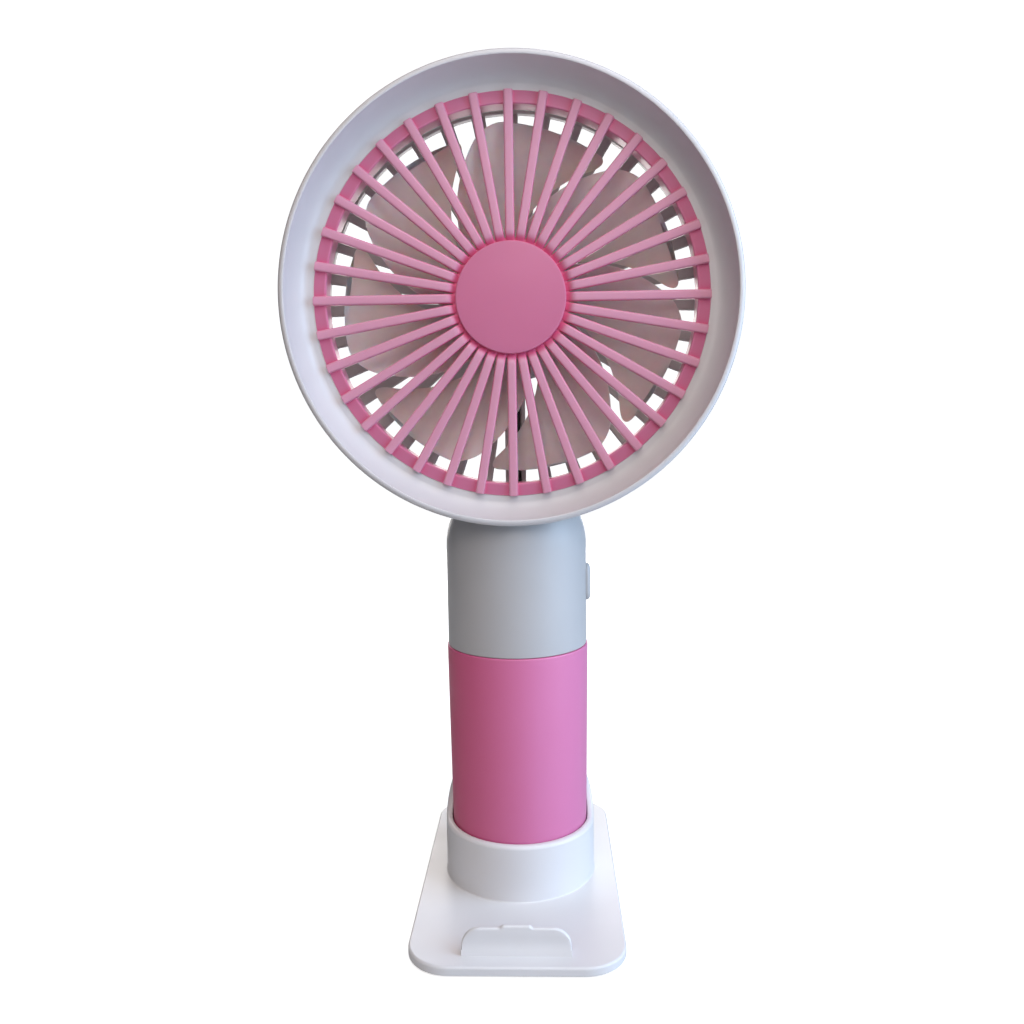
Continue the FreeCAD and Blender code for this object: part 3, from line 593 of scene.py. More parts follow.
def blade_milky():
    """Milky resin: part of the light passes through; faint flow lines from the hub."""
    n = Nodes("blade_milky")
    flow = n.noise(0.25, 3.0, 0.5, (1.0, 0.3, 1.0))
    tone = n.mix(n.spread(flow, 0.0, 1.0), (0.730, 0.670, 0.655), (0.780, 0.720, 0.705))
    # painted highlight: edges lightened for light caught at the blade edges
    tone = n.mix(n.edges(0.25), tone, (0.84, 0.80, 0.80))
    n.bump(n.noise(1.5, 3.0), 0.04, 0.05)
    return n.set(Base_Color=tone, Roughness=n.spread(flow, 0.28, 0.38), Transmission_Weight=0.12,
                 IOR=1.45, Subsurface_Weight=0.5, Subsurface_Scale=0.002)


def two_tone(name, pattern, tones, bump, roughness, **extra):
    """Surface that varies between two tones along one noise, which is also its relief."""
    n = Nodes(name)
    noise = n.noise(*pattern)
    n.bump(noise, *bump)
    return n.set(Base_Color=n.mix(noise, *tones), Roughness=n.spread(noise, *roughness), **extra)


def pad_rubber():
    return two_tone("pad_rubber", (3.0, 4.0, 0.7), ((0.018, 0.018, 0.020), (0.045, 0.045, 0.048)),
                    (0.35, 0.08), (0.72, 0.9))


def inner_plastic():
    return plastic("inner_plastic", (0.62, 0.62, 0.62), 0.5, 0.3, 0.08)


def cell_wrap():
    """Heat-shrunk film: glossy, slightly puckered."""
    return two_tone("cell_wrap", (0.4, 3.0, 0.5, (1, 1, 0.3)),
                    ((0.012, 0.110, 0.280), (0.025, 0.160, 0.360)), (0.15, 0.1), (0.18, 0.3),
                    Coat_Weight=0.3)


def insulator_card():
    return two_tone("insulator_card", (2.0, 4.0, 0.7, (1, 0.2, 1)),
                    ((0.36, 0.42, 0.34), (0.56, 0.60, 0.50)), (0.2, 0.03), (0.85, 0.85))


def wire(name, colour):
    return two_tone(name, (0.8, 2.0, 0.5, (1, 1, 0.2)), (scaled(colour, 0.8), scaled(colour, 1.2)),
                    (0.08, 0.03), (0.35, 0.5))


def board_green():
    """Solder mask over faint square tracks and a fibre weave."""
    n = Nodes("board_green")
    tracks = n.add("ShaderNodeTexBrick")
    tracks.inputs["Scale"].default_value = 0.6 / MM
    tracks.inputs["Mortar Size"].default_value = 0.03
    n.link(n.place, tracks.inputs["Vector"])
    tone = n.mix(tracks.outputs["Fac"], (0.010, 0.110, 0.045), (0.020, 0.190, 0.080))
    n.bump(tracks.outputs["Fac"], 0.2, 0.03)
    return n.set(Base_Color=tone, Roughness=n.spread(n.noise(1.0), 0.25, 0.4))


def chip_black():
    return two_tone("chip_black", (8.0, 3.0, 0.7), ((0.010, 0.010, 0.011), (0.035, 0.035, 0.037)),
                    (0.15, 0.02), (0.6, 0.6))


def ceramic_tan():
    return two_tone("ceramic_tan", (3.0, 3.0), ((0.30, 0.22, 0.12), (0.42, 0.32, 0.18)),
                    (0.1, 0.02), (0.55, 0.55))


def clear_resin(name, colour, clearness):
    return two_tone(name, (0.8, 3.0), (scaled(colour, 0.94), colour), (0.05, 0.03), (0.12, 0.3),
                    Transmission_Weight=clearness)


def magnet_dark():
    return two_tone("magnet_dark", (4.0, 5.0, 0.7), ((0.015, 0.015, 0.016), (0.05, 0.05, 0.052)),
                    (0.25, 0.03), (0.55, 0.55), Metallic=0.4)


def bush_bronze():
    n = Nodes("bush_bronze")
    pores = n.cells(3.0)
    n.bump(pores, 0.3, 0.03)
    tone = n.mix(pores, (0.20, 0.12, 0.05), (0.42, 0.27, 0.12))
    return n.set(Base_Color=tone, Metallic=0.9, Roughness=0.42)


def striped_metal(name, dark, light, per_mm):
    """Stacked sheets or turns of wire, as fine bands across the motor's axis."""
    n = Nodes(name)
    layers = n.bands(per_mm, "Y", 0.4)
    n.bump(layers, 0.4, 0.05)
    rough = n.remap(layers, 0.0, 1.0, 0.5, 0.3)
    return n.set(Base_Color=n.mix(layers, dark, light), Metallic=0.9, Roughness=rough)


def all_materials():
    """Material for each slot of the record, and a lighter copy of the shell's white for the bezel, as
    painted light.
    """
    return {
        "shell_white": shell_white(), "bezel_white_lit": bezel_white_lit(),
        "base_white": base_white(), "housing_grey": housing_grey(),
        "grille_pink": grille_pink(), "sleeve_pink": sleeve_pink(), "blade_milky": blade_milky(),
        "pad_rubber": pad_rubber(), "inner_plastic": inner_plastic(), "cell_wrap": cell_wrap(),
        "insulator_card": insulator_card(), "board_green": board_green(), "chip_black": chip_black(),
        "ceramic_tan": ceramic_tan(), "magnet_dark": magnet_dark(), "bush_bronze": bush_bronze(),
        "wire_red": wire("wire_red", (0.400, 0.012, 0.010)),
        "wire_black": wire("wire_black", (0.012, 0.012, 0.013)),
        "nickel": metal("nickel", (0.60, 0.58, 0.53), 0.25),
        "screw_steel": metal("screw_steel", (0.46, 0.46, 0.48), 0.32, (1, 1, 0.2)),
        "led_lens": clear_resin("led_lens", (0.90, 0.88, 0.70), 0.5),
        "clear_acrylic": clear_resin("clear_acrylic", (0.92, 0.93, 0.95), 0.6),
        "washer_nylon": plastic("washer_nylon", (0.75, 0.72, 0.64), 0.45, 0.3),
        "core_steel": striped_metal("core_steel", (0.16, 0.16, 0.17), (0.42, 0.42, 0.44), 2.0),
        "winding_copper": striped_metal("winding_copper", (0.28, 0.10, 0.03), (0.60, 0.27, 0.10), 3.0),
    }


# ================================================================ head pieces

def head_bezel():
    """White hoop: rounded lip, dished inner face, straight outer skin, and the snap wall inside."""
    floor = BEZEL_FLOOR_Y
    seat = GRILLE_R + SEAT_LINE
    wall = seat + BEZEL_WALL
    skin = DRUM_R - BEZEL_SKIN
    start_r = seat + DISH_FLOOR
    lip_in = LIP_R - LIP_W
    ridge = LIP_Y + LIP_RIDGE
    across, along = LIP_SHOULDER
    dish = [(seat, floor)]
    for a in quarter_turn(24):
        dish.append((start_r + (lip_in - start_r) * math.sin(a), ridge + (floor - ridge) * math.cos(a)))
    dish += [(lip_in + 0.05, LIP_Y + 0.08), (lip_in + 0.18, LIP_Y)]
    lip = [(LIP_R - across * (1 - math.sin(a)), LIP_Y + along * (1 - math.cos(a)))
           for a in quarter_turn(8)]
    back = rounded([
        (LIP_R - 0.2, LIP_Y + 4, 0), (DRUM_R + 0.05, BEZEL_BACK_Y, 0.2), (skin, BEZEL_BACK_Y, 0.1),
        (skin, floor - BEZEL_SKIN / 2, 0.3), (wall, floor + BEZEL_WALL, 0.3), (wall, RING_BACK, 0.2),
        (seat, RING_BACK, 0.2), (seat, floor + 0.1, 0)], 3)
    return lathe("head_bezel_ring", dish + lip + back, on_head)


def grille_ring():
    """Ring whose face leans a little outward, with soft edges."""
    outer, inner = RING_FACE_Y
    return lathe("ring", rounded([
        (GRILLE_R, outer, 0.1), (GRILLE_R, RING_BACK, 0.3),
        (RING_IN_R, RING_BACK, 0.3), (RING_IN_R, inner, 0.3)], 4), on_head)


def spoke_section(r, front, width, depth):
    """Bar section at radius r on the head's upright axis: crowned front, soft edges."""
    half = width / 2
    side = front + SPOKE_CROWN
    outline = rounded([(-half, side, 0.45), (0, front, 0), (half, side, 0.45),
                       (half, front + depth, 0.2), (-half, front + depth, 0.2)], 6)
    return [(x, y, HEAD_Z + r) for x, y in outline]


def grille_spoke():
    """Straight bar from the hub to the ring's outer edge; its inner end rolls down beside the cap."""
    tip_start = GRILLE_R - SPOKE_TIP_L
    radii = [CAP_R + step for step in (-0.2, 0.25, 0.6, 1.0, 1.5, 2.2, 4.0)]
    radii += [20, 26, 32, 38, tip_start, GRILLE_R - 0.08, GRILLE_R - 0.02]
    sections = []
    for r in radii:
        dip = SPOKE_DIP * (1 - smooth_step((r - CAP_R) / SPOKE_DIP_L))
        tip = SPOKE_TIP * max(0.0, (r - tip_start) / SPOKE_TIP_L) ** 2
        sections.append(spoke_section(r, SPOKE_FRONT + dip + tip, SPOKE_W - tip, SPOKE_DEPTH - dip - tip))
    return loft("spoke", sections)


def front_grille():
    """Ring, spokes and the disc that joins the spokes behind the cap."""
    ring = grille_ring()
    front = SPOKE_FRONT + HUB_PLATE_SINK
    back = front + HUB_PLATE_T
    hub = lathe("hub", rounded([(0, front, 0), (HUB_PLATE_R, front, 0.3), (HUB_PLATE_R, back, 0.3),
                                (0, back, 0)], 3), on_head)
    spokes = copies_about_head("spokes", grille_spoke(), SPOKES)
    body = boolean(ring, spokes, "UNION")
    body = boolean(body, hub, "UNION")
    body.name = "front_grille_spokes"
    return body


def grille_cap():
    """Slightly domed disc with a soft rim."""
    front, back = CAP_LOW.y, CAP_HIGH.y
    fall = CAP_CROWN_R - math.sqrt(CAP_CROWN_R ** 2 - CAP_R ** 2)
    crown_r = CAP_R - CAP_RIM
    face = [(crown_r * i / 12, front + fall * (i / 12) ** 2) for i in range(13)]
    rim = [(crown_r + CAP_RIM * math.sin(a), front + fall + CAP_RIM * (1 - math.cos(a)))
           for a in quarter_turn(5)[1:]]
    return lathe("grille_cap", face + rim + [(CAP_R, back), (0, back)], on_head)


def drum():
    """Rear housing's round wall with the tongue that enters the bezel and a soft rear rim."""
    front_in = DRUM_R - DRUM_WALL
    back_in = DRUM_BACK_R - DRUM_WALL
    tongue_r = front_in + DRUM_TONGUE_STEP
    tongue_y = BEZEL_BACK_Y - DRUM_TONGUE
    return lathe("drum", rounded([
        (front_in, tongue_y, 0.15), (tongue_r, tongue_y, 0.15),
        (tongue_r, BEZEL_BACK_Y + 0.1, 0), (DRUM_R, BEZEL_BACK_Y + 0.1, 0.2),
        (DRUM_BACK_R, HOUSING_BACK, 2.0), (back_in - 0.5, HOUSING_BACK, 0.4),
        (back_in - 0.5, RIB_FRONT, 0.3), (back_in, RIB_FRONT - 0.5, 0.3)], 5), on_head)


def rear_rib():
    """Tapered rib, rounded on its front, from the motor seat to the drum."""
    steps = 6
    start, end = SEAT_R - 1.5, DRUM_BACK_R - DRUM_WALL + 0.5
    thin, wide = RIB_W
    back = HOUSING_BACK - 0.1
    sections = []
    for i in range(steps + 1):
        half = (thin + (wide - thin) * i / steps) / 2
        outline = rounded([(-half, RIB_FRONT, 0.5), (half, RIB_FRONT, 0.5), (half, back, 0.45),
                           (-half, back, 0.45)], 3)
        sections.append([(x, y, HEAD_Z + start + (end - start) * i / steps) for x, y in outline])
    return loft("rib", sections)


def motor_seat():
    """Disc behind the motor: shallow dish outside, soft rim, and the bearing tube on its front."""
    rim = HOUSING_BACK + SEAT_RIM_UP
    rim_in = SEAT_R - SEAT_RIM
    dish = rim - SEAT_DISH
    bore_end = RIB_FRONT + 0.9
    return lathe("seat", rounded([
        (0, bore_end, 0), (BEARING_IN_R, bore_end, 0), (BEARING_IN_R, BEARING_FRONT, 0),
        (BEARING_R, BEARING_FRONT, 0), (BEARING_R, RIB_FRONT, 0.4), (SEAT_R, RIB_FRONT, 0.5),
        (SEAT_R, rim, 0.7), (rim_in, rim, 0.3), (rim_in - 0.6, dish, 0.3), (0, dish, 0)], 4), on_head)


def box_solid(name, x, y, z):
    corners = [[(x[i], y[j], z[k]) for i, j in ((0, 0), (1, 0), (1, 1), (0, 1))] for k in (0, 1)]
    return loft(name, corners)


def upright(name, r, z, centre_y, flat_y=math.inf, steps=64):
    """Upright round solid between two heights, with a flat back at flat_y from its middle."""
    def place(r, h, a):
        return (r * math.cos(a), centre_y + min(r * math.sin(a), flat_y), h)
    return lathe(name, [(0, z[0]), (r, z[0]), (r, z[1]), (0, z[1])], place, steps)


def rear_housing():
    """Drum with its ribs, motor seat, wire channel and the stem that enters the neck."""
    drum_bottom = HEAD_Z - (DRUM_BACK_R - DRUM_WALL)
    channel = box_solid("channel", (-CHANNEL_HALF, CHANNEL_HALF), (RIB_FRONT, HOUSING_BACK),
                        (drum_bottom - 0.4, HEAD_Z - SEAT_R + 1))
    stem = upright("stem", STEM_R, (HOUSING_LOW.z, HEAD_Z - DRUM_R + STEM_IN_DRUM), STEM_Y, STEM_FLAT_Y)
    groove = box_solid("groove", (-GROOVE_HALF, GROOVE_HALF), (RIB_FRONT - 1, RIB_FRONT + 1.3),
                       (drum_bottom - 0.1, HEAD_Z - 8))
    bore = upright("bore", STEM_BORE_R, (HOUSING_LOW.z - 1, HEAD_Z - STEM_BORE_UP), RIB_FRONT + 0.45,
                   steps=32)
    body = boolean(drum(), motor_seat(), "UNION")
    body = boolean(body, copies_about_head("ribs", rear_rib(), SPOKES), "UNION")
    body = boolean(body, channel, "UNION")
    body = boolean(body, stem, "UNION")
    body = boolean(body, groove, "DIFFERENCE")
    body = boolean(body, bore, "DIFFERENCE")
    body.name = "rear_housing_drum"
    return body


# ================================================================ rotor

def blade_point(r, v, side):
    """Point on a blade: v runs -1 to 1 from front edge to rear edge, side is -1 or 1 for its faces."""
    reach = r * math.tan(BLADE_HALF_ANGLE)
    into_corner = max(0.0, r - (BLADE_R - BLADE_CORNER))
    reach -= BLADE_CORNER - math.sqrt(max(0.0, BLADE_CORNER ** 2 - into_corner ** 2))
    across = v * reach / r
    camber = BLADE_CAMBER * (1 - v * v)
    y = BLADE_MID_Y + BLADE_HALF_DEPTH * across / math.tan(BLADE_HALF_ANGLE) + camber
    slant = math.atan2(BLADE_HALF_DEPTH, r * math.tan(BLADE_HALF_ANGLE))
    thick = side * BLADE_T / 2 * (1 - BLADE_THIN * abs(v) ** 6)
    turn = (BLADE_R - r) * BLADE_SWEEP
    angle = math.pi / 2 - across - thick * -math.sin(slant) / r + turn
    return on_head(r, y + thick * math.cos(slant), angle)


def blade():
    """One swept blade as a closed shell."""
    cols = 17
    root_r = CUP_R - BLADE_ROOT
    sections = []
    for a in quarter_turn(25):
        r = root_r + (BLADE_R - root_r) * math.sin(a)
        front = [blade_point(r, -1 + 2 * j / (cols - 1), -1) for j in range(cols)]
        back = [blade_point(r, 1 - 2 * j / (cols - 1), 1) for j in range(cols)]
        sections.append(front + back)
    return loft("blade", sections)


def fan_rotor():
    """Cup open to the rear, with the shaft's boss inside and the blades around it."""
    front, back = ROTOR_LOW.y, ROTOR_HIGH.y
    wall_in = CUP_R - CUP_WALL
    floor, boss, bore = front + CUP_FLOOR, front + SHAFT_BOSS_L, front + SHAFT_BORE_FLOOR
    cup = lathe("cup", rounded([
        (0, front, 0), (CUP_R, front, 0.9), (CUP_R, back, 0.2), (wall_in, back, 0.2), (wall_in, floor, 0),
        (SHAFT_BOSS_R, floor, 0), (SHAFT_BOSS_R, boss, 0), (SHAFT_BORE_R, boss, 0),
        (SHAFT_BORE_R, bore, 0), (0, bore, 0)], 4), on_head)
    blades = copies_about_head("blades", blade(), BLADES)
    blades.data.transform(turn_about_head(math.pi / 2 - BLADE_FIRST))
    body = boolean(cup, blades, "UNION")
    body.name = "fan_rotor_blades"
    return body


# ================================================================ neck and handle

def dome_outline(radius, low, top, corner):
    """Half outline of a cylinder that ends in a clipped dome, from the bottom to the top of the axis."""
    outline = [(0, low), (radius, low), (radius, DOME_Z)]
    rise = top - DOME_Z
    last = math.asin(rise / radius)
    steps = 18
    flat_r = radius * math.cos(last)
    for i in range(1, steps):
        a = last * i / steps
        outline.append((radius * math.cos(a), DOME_Z + radius * math.sin(a)))
    outline += [(flat_r - corner * 0.15, top - corner * 0.12), (flat_r - corner, top), (0, top)]
    return outline


def pill_section(width, height, x, z, steps=10):
    """Ring of points at x: half circles above and below, straight sides."""
    r = width / 2
    half = height / 2 - r
    ring = []
    for centre, start in ((half, 0.0), (-half, math.pi)):
        for i in range(steps + 1):
            a = start + math.pi * i / steps
            ring.append((x, r * math.cos(a), z + centre + r * math.sin(a)))
    return ring


def pill_solid(name, width, height, z, stations):
    """Pill along X through (x, shrink) stations."""
    return loft(name, [pill_section(width - 2 * s, height - 2 * s, x, z) for x, s in stations])


def head_envelope(grow):
    """Solid a little larger than the head, used to cut the neck's seat."""
    return lathe("envelope", [(0, LIP_Y - 5), (LIP_R + grow, LIP_Y - 5), (LIP_R + grow, LIP_Y + 0.8),
                              (DRUM_R + grow, BEZEL_BACK_Y), (DRUM_BACK_R + grow, HOUSING_BACK + grow),
                              (0, HOUSING_BACK + grow)], on_head)


def neck_dome():
    """Outside of the neck, with a soft foot at the sleeve."""
    low = SLEEVE_HIGH.z + 0.1
    outer = dome_outline(NECK_R, low, NECK_HIGH.z, DOME_EDGE)
    soft_foot = [(0, low), (NECK_R - 0.2, low), (NECK_R - 0.06, low + 0.06), (NECK_R, low + 0.2)]
    return lathe("neck", soft_foot + outer[2:], on_handle)


def button_hole():
    """Pill opening that widens at the neck's surface."""
    z = (BUTTON_LOW.z + BUTTON_HIGH.z) / 2
    lead = [(5, 0), (NECK_R - 0.55, 0), (NECK_R - 0.1, -0.15), (NECK_R + 0.5, -0.7)]
    return pill_solid("button_hole", BUTTON_W + BUTTON_ROOM, BUTTON_H + BUTTON_ROOM, z, lead)


def neck_shell():
    """Hollow domed shell with its button, socket and light openings, cut to seat the head."""
    inside = dome_outline(NECK_R - NECK_WALL, SLEEVE_HIGH.z - 0.9, NECK_CEILING_Z, 0.3)
    cutters = [
        lathe("hollow", inside, on_handle),
        upright("upper", NECK_OPENING_R, (NECK_SHELF_Z, NECK_HIGH.z + 1), STEM_Y, NECK_OPENING_Y),
        head_envelope(0.1),
        button_hole(),
        usb_hole(),
        pipe_rod("pipe_hole", PIPE_HOLE_R, 12, NECK_R + 2),
    ]
    body = neck_dome()
    for cutter in cutters:
        body = boolean(body, cutter, "DIFFERENCE")
    body.name = "neck_shell_dome"
    return body


def usb_hole():
    """Oval opening at the back with a small lead-in."""
    z = (USB_LOW.z + USB_HIGH.z) / 2
    sections = []
    for y, grow in ((5, 0), (NECK_R - 0.5, 0), (NECK_R + 0.3, 0.5)):
        ring = pill_section(USB_OPEN_H + grow, USB_OPEN_W + grow, 0, 0)
        sections.append([(pz, y, z + py) for _, py, pz in ring])
    return loft("usb_hole", sections)


def pipe_rod(name, radius, r0, r1):
    """Round rod along the light pipe's direction."""
    middle = (PIPE_LOW + PIPE_HIGH) / 2
    way = Vector((middle.x, middle.y, 0)).normalized()
    side = Vector((-way.y, way.x, 0))
    sections = []
    for r in (r0, r1):
        centre = way * r + Vector((0, 0, middle.z))
        sections.append([centre + side * radius * math.cos(a) + Vector((0, 0, radius * math.sin(a)))
                         for a in (2 * math.pi * i / 32 for i in range(32))])
    return loft(name, sections)


def power_button():
    """Pill button with a soft crown and the flange that keeps it in the wall."""
    z = (BUTTON_LOW.z + BUTTON_HIGH.z) / 2
    face = BUTTON_HIGH.x
    out, across = BUTTON_CROWN
    crown = [(FLANGE_X - 0.1, 0)]
    crown += [(face - out + out * math.sin(a), across * (1 - math.cos(a))) for a in quarter_turn(8)]
    cap = pill_solid("power_button_cap", BUTTON_W, BUTTON_H, z, crown)
    flange = pill_solid("flange", BUTTON_W + FLANGE_GROW, BUTTON_H + FLANGE_GROW, z,
                        [(BUTTON_LOW.x, 0), (FLANGE_X, 0)])
    body = boolean(cap, flange, "UNION")
    body.name = "power_button_cap"
    return body


def handle_sleeve():
    low, high = SLEEVE_LOW.z, SLEEVE_HIGH.z
    foot, neck = SLEEVE_R
    return lathe("handle_sleeve_tube", rounded([
        (foot, low, 0.2), (neck, high, 0.3),
        (SLEEVE_IN_R, high, 0.15), (SLEEVE_IN_R, low, 0.15)], 5), on_handle)


def bottom_cap():
    """Disc that stands on a wide ring, with a thinner ring on top that plugs into the handle."""
    low, plug_top = BOTTOM_LOW.z, BOTTOM_HIGH.z
    dish, top = low + FOOT_DISH, low + FOOT_T
    r = (BOTTOM_HIGH.x - BOTTOM_LOW.x) / 2
    return lathe("bottom_cap_disc", rounded([
        (0, dish, 0), (r - FOOT_RING + 0.6, dish, 0.3), (r - FOOT_RING, low, 0.3), (r, low, 0.6),
        (r, top, 0.15), (PLUG_R, top, 0), (PLUG_R, plug_top, 0.2), (PLUG_IN_R, plug_top, 0.2),
        (PLUG_IN_R, top, 0), (0, top, 0)], 4), on_handle)


# ================================================================ desk base

def rounded_rectangle(half_x, y0, y1, corner, steps=14):
    return rounded([(-half_x, y0, corner), (half_x, y0, corner),
                    (half_x, y1, corner), (-half_x, y1, corner)], steps)


def soft_plate(name, half_x, y, z, corner, top_edge, bottom_edge):
    """Rounded rectangle with rounded top and bottom edges; y and z are pairs of ends."""
    levels = [(bottom_edge * (1 - math.sin(a)), z[0] + bottom_edge * (1 - math.cos(a)))
              for a in quarter_turn(4)]
    levels += [(top_edge * (1 - math.cos(a)), z[1] - top_edge * (1 - math.sin(a)))
               for a in quarter_turn(7)]
    sections = []
    for inset, height in levels:
        ring = rounded_rectangle(half_x - inset, y[0] + inset, y[1] - inset, corner - inset)
        sections.append([(px, py, height) for px, py in ring])
    return loft(name, sections)


def collar_rim_z(angle):
    """Height of the collar's rim: level at the front and sides, then an S up to the raised back."""
    y = COLLAR_R * math.sin(angle)
    y0, y1 = COLLAR_SLOPE_Y
    t = (y - y0) / (y1 - y0)
    return COLLAR_SIDE_Z + (COLLAR_BACK_Z - COLLAR_SIDE_Z) * smooth_step(t)


def collar():
    """Thin round wall: rim rounded off mostly on its outside, small soft foot on the plate."""
    steps = 360
    foot_r = COLLAR_R + COLLAR_FOOT
    foot_z = PLATE_TOP - 0.02
    inside, outside = COLLAR_EDGE
    low = [(SOCKET_R, PLATE_TOP - SUNK), (foot_r, PLATE_TOP - SUNK)]
    low += [(foot_r - COLLAR_FOOT * math.sin(a), foot_z + COLLAR_FOOT * (1 - math.cos(a)))
            for a in quarter_turn(5)]
    verts = []
    for i in range(steps):
        angle = 2 * math.pi * i / steps
        rim = collar_rim_z(angle)
        section = list(low)
        section += [(COLLAR_R - outside * (1 - math.cos(a)), rim - outside * (1 - math.sin(a)))
                    for a in quarter_turn(8)]
        section += [(SOCKET_R + inside * (1 - math.sin(a)), rim - inside * (1 - math.cos(a)))
                    for a in quarter_turn(3)]
        verts += [on_handle(r, z, angle) for r, z in section]
    return new_object("collar", verts, grid_faces(steps, len(section), True, True))


def stop_top(x):
    """Height of the phone stop's top edge: round corners and a low tab in the middle."""
    into = max(0.0, abs(x) - (STOP_X / 2 - STOP_CORNER))
    drop = STOP_CORNER - math.sqrt(max(0.0, STOP_CORNER ** 2 - into ** 2))
    tab = STOP_TAB_H * (1 - smooth_step((abs(x) - STOP_TAB_X / 2) / STOP_TAB_RAMP))
    return PLATE_TOP + STOP_H - drop + tab


def phone_stop():
    """Low lip: the lower part of its front leans back, the upper part stands upright."""
    steps = 120
    front = [(0.0, -STOP_SUNK), (0.0, -0.02), (0.10, 0.35), (0.45, 1.1), (0.72, 1.8), (0.85, 2.5),
             (0.90, 3.6)]
    back = [(STOP_BACK_Y[0], 0.6), (STOP_BACK_Y[1], -0.02), (STOP_BACK_Y[1], -STOP_SUNK)]
    half_t = STOP_TOP_Y - STOP_FACE_Y
    sections = []
    for i in range(steps + 1):
        x = STOP_X * (i / steps - 0.5)
        shoulder = stop_top(x) - STOP_EDGE
        ring = [(x, STOP_FRONT + y, min(PLATE_TOP + z, shoulder)) for y, z in front]
        for k in range(9):
            a = math.pi * k / 8
            z = max(PLATE_TOP - STOP_SUNK + 0.05, shoulder + STOP_EDGE * math.sin(a))
            ring.append((x, STOP_FRONT + STOP_TOP_Y - half_t * math.cos(a), z))
        ring += [(x, STOP_FRONT + y, min(PLATE_TOP + z, shoulder)) for y, z in back]
        sections.append(ring)
    return loft("stop", sections)


def base_stand():
    """Plate with the collar and the phone stop on it and a recess for the pad below."""
    body = soft_plate("base_stand_plate", STAND_HIGH.x, (STAND_LOW.y, STAND_HIGH.y),
                      (STAND_LOW.z, PLATE_TOP), PLATE_CORNER, *PLATE_EDGES)
    body = boolean(body, collar(), "UNION")
    body = boolean(body, phone_stop(), "UNION")
    recess = soft_plate("recess", PAD_HIGH.x + PAD_ROOM, (PAD_LOW.y - PAD_ROOM, PAD_HIGH.y + PAD_ROOM),
                        (-1.0, PAD_HIGH.z + PAD_ROOM), PAD_CORNER + PAD_ROOM, 0.1, 0.1)
    return boolean(body, recess, "DIFFERENCE")


def base_pad():
    return soft_plate("base_pad_sheet", PAD_HIGH.x, (PAD_LOW.y, PAD_HIGH.y), (PAD_LOW.z, PAD_HIGH.z),
                      PAD_CORNER, 0.1, 0.2)


def socket_disc():
    r = (DISC_HIGH.x - DISC_LOW.x) / 2
    low, high = DISC_LOW.z, DISC_HIGH.z
    outline = rounded([(0, low, 0), (r, low, 0.15), (r, high, 0.2), (0, high, 0)], 3)
    return lathe("socket_disc_sheet", outline, on_handle)


# ================================================================ studio

def studio_material():
    """Pale backdrop that glows for the camera only, more with distance, so that it stays plain."""
    n = Nodes("studio_pale")
    distance = n.add("ShaderNodeVectorMath", operation="LENGTH")
    n.link(n.place, distance.inputs[0])
    glow = n.remap(distance.outputs["Value"], 0.10, 0.50, 0.78, 1.0)
    seen = n.product(glow, n.add("ShaderNodeLightPath").outputs["Is Camera Ray"])
    return n.set(Base_Color=(0.55, 0.55, 0.55), Roughness=0.9, Emission_Color=(1.0, 1.0, 1.0),
                 Emission_Strength=seen)


def backdrop():
    """Floor just under the pad that curves up into a wall far from the object, all round."""
    floor, reach, wall, bend = -0.05, 900.0, 1400.0, 500.0
    outline = [(0.0, floor)]
    outline += [(reach + bend * math.sin(a), floor + bend * (1 - math.cos(a))) for a in quarter_turn(12)]
    outline.append((reach + bend, wall))
    steps = 96
    verts = [on_handle(r, z, 2 * math.pi * i / steps) for i in range(steps) for r, z in outline]
    obj = new_object("studio_floor", verts, grid_faces(steps, len(outline), True, False))
    obj.data.materials.append(studio_material())
    for polygon in obj.data.polygons:
        polygon.use_smooth = True


def area_light(name, at, size, power, colour):
    """Soft rectangular light aimed at the middle of the object."""
    light = bpy.data.lights.new(name, "AREA")
    light.shape = "RECTANGLE"
    light.size, light.size_y = size[0] * MM, size[1] * MM
    light.energy = power
    light.color = colour
    obj = linked(name, light)
    obj.location = Vector(at) * MM
    aim = Vector((0, 0, LIGHT_AIM_Z)) * MM - obj.location
    obj.rotation_euler = aim.to_track_quat("-Z", "Y").to_euler()


def lights():
    area_light("window_right", (460, -160, 230), (460, 460), KEY_POWER, (0.55, 0.75, 1.0))
    area_light("soft_top", (60, -200, 540), (420, 300), TOP_POWER, (1.0, 0.95, 0.93))
    area_light("front_fill", (40, -480, 380), (300, 300), FRONT_POWER, (1.0, 0.91, 0.87))
    area_light("rear_fill", (-40, 500, 150), (460, 260), REAR_POWER, (1.0, 0.97, 0.95))
    world = bpy.data.worlds.new("studio_world")
    world.use_nodes = True
    back = world.node_tree.nodes["Background"]
    back.inputs["Color"].default_value = (1.0, 0.88, 0.78, 1.0)
    back.inputs["Strength"].default_value = WORLD_LIGHT
    bpy.context.scene.world = world


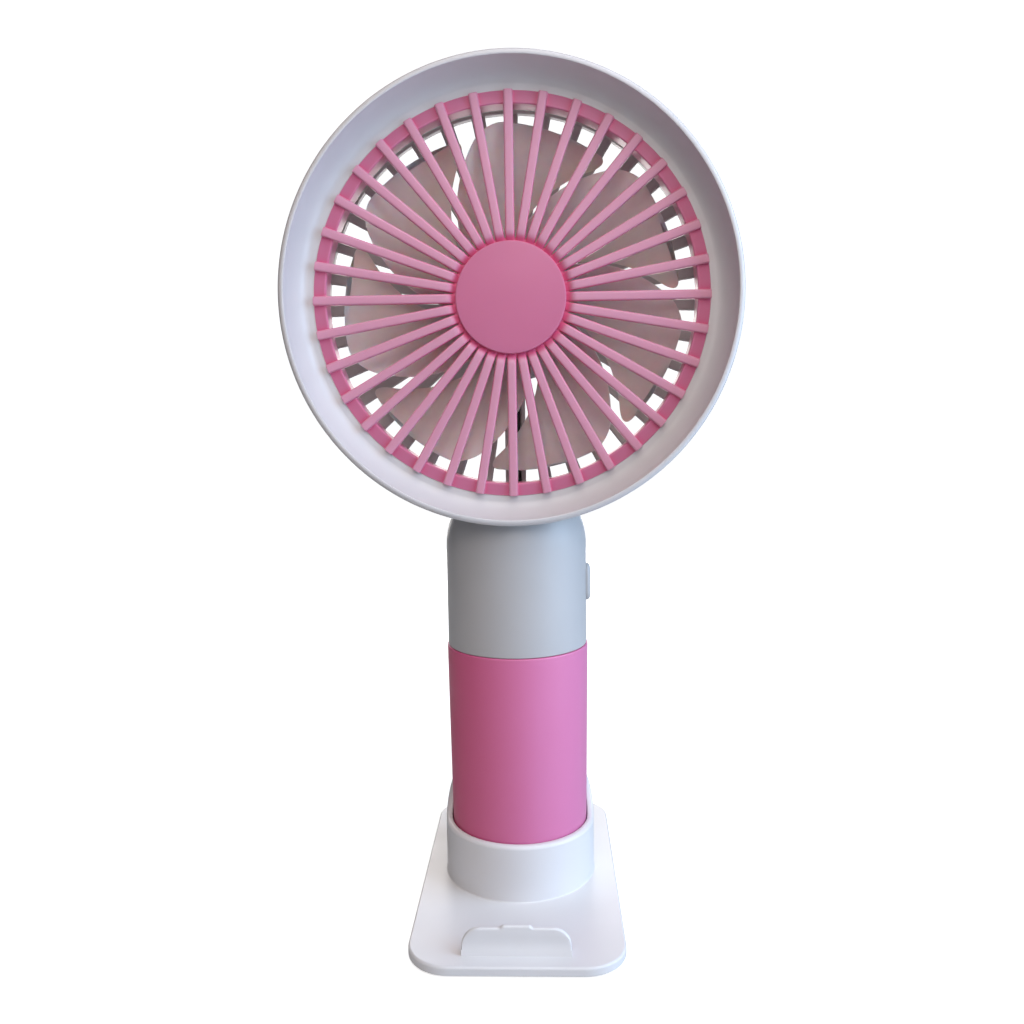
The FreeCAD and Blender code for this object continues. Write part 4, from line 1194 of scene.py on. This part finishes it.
def camera():
    data = bpy.data.cameras.new("view")
    data.lens = CAMERA_LENS
    data.sensor_width = CAMERA_SENSOR
    data.clip_start = 0.01
    flat = math.cos(CAMERA_PITCH)
    ahead = Vector((math.sin(CAMERA_YAW) * flat, math.cos(CAMERA_YAW) * flat, -math.sin(CAMERA_PITCH)))
    level = Vector((math.cos(CAMERA_YAW), -math.sin(CAMERA_YAW), 0))
    down = ahead.cross(level)
    right = level * math.cos(CAMERA_ROLL) - down * math.sin(CAMERA_ROLL)
    up = -(level * math.sin(CAMERA_ROLL) + down * math.cos(CAMERA_ROLL))
    obj = linked("view", data)
    turn = Matrix((right, up, -ahead)).transposed()
    obj.matrix_world = Matrix.Translation(Vector(CAMERA_AT) * MM) @ turn.to_4x4()
    bpy.context.scene.camera = obj


# ================================================================ assembly

MATERIALS = all_materials()


def paint_cad_nodes():
    """Give every carried-over CAD node its slot's material, soft creases and small rounded edges."""
    for part in frame["record"]["subparts"]:
        obj = frame["nodes"][part["node"]]
        obj.data.materials.clear()
        obj.data.materials.append(MATERIALS[part["material_slot"]])
        soft = obj.modifiers.new("soft_edges", "BEVEL")
        soft.width = SOFT_EDGE * MM
        soft.segments = 2
        soft.limit_method = "ANGLE"
        soft.angle_limit = SHARP_ANGLE
        soft.harden_normals = True


def build():
    piece(head_bezel(), "handle", "shell_white", "head_bezel", MATERIALS["bezel_white_lit"])
    piece(front_grille(), "handle", "grille_pink", "front_grille")
    piece(grille_cap(), "handle", "grille_pink", "grille_hub_cap")
    piece(rear_housing(), "handle", "housing_grey", "rear_housing")
    piece(fan_rotor(), "rotor", "blade_milky", "fan_rotor")
    piece(neck_shell(), "handle", "shell_white", "neck_shell")
    piece(power_button(), "button", "shell_white", "power_button")
    piece(handle_sleeve(), "handle", "sleeve_pink", "handle_sleeve")
    piece(bottom_cap(), "handle", "sleeve_pink", "bottom_cap")
    piece(base_stand(), "base", "base_white", "base_stand")
    piece(base_pad(), "base", "pad_rubber", "base_pad")
    piece(socket_disc(), "socket_disc", "pad_rubber", "socket_pad")


paint_cad_nodes()
build()
backdrop()
lights()
camera()
bpy.context.scene.view_settings.view_transform = "Standard"
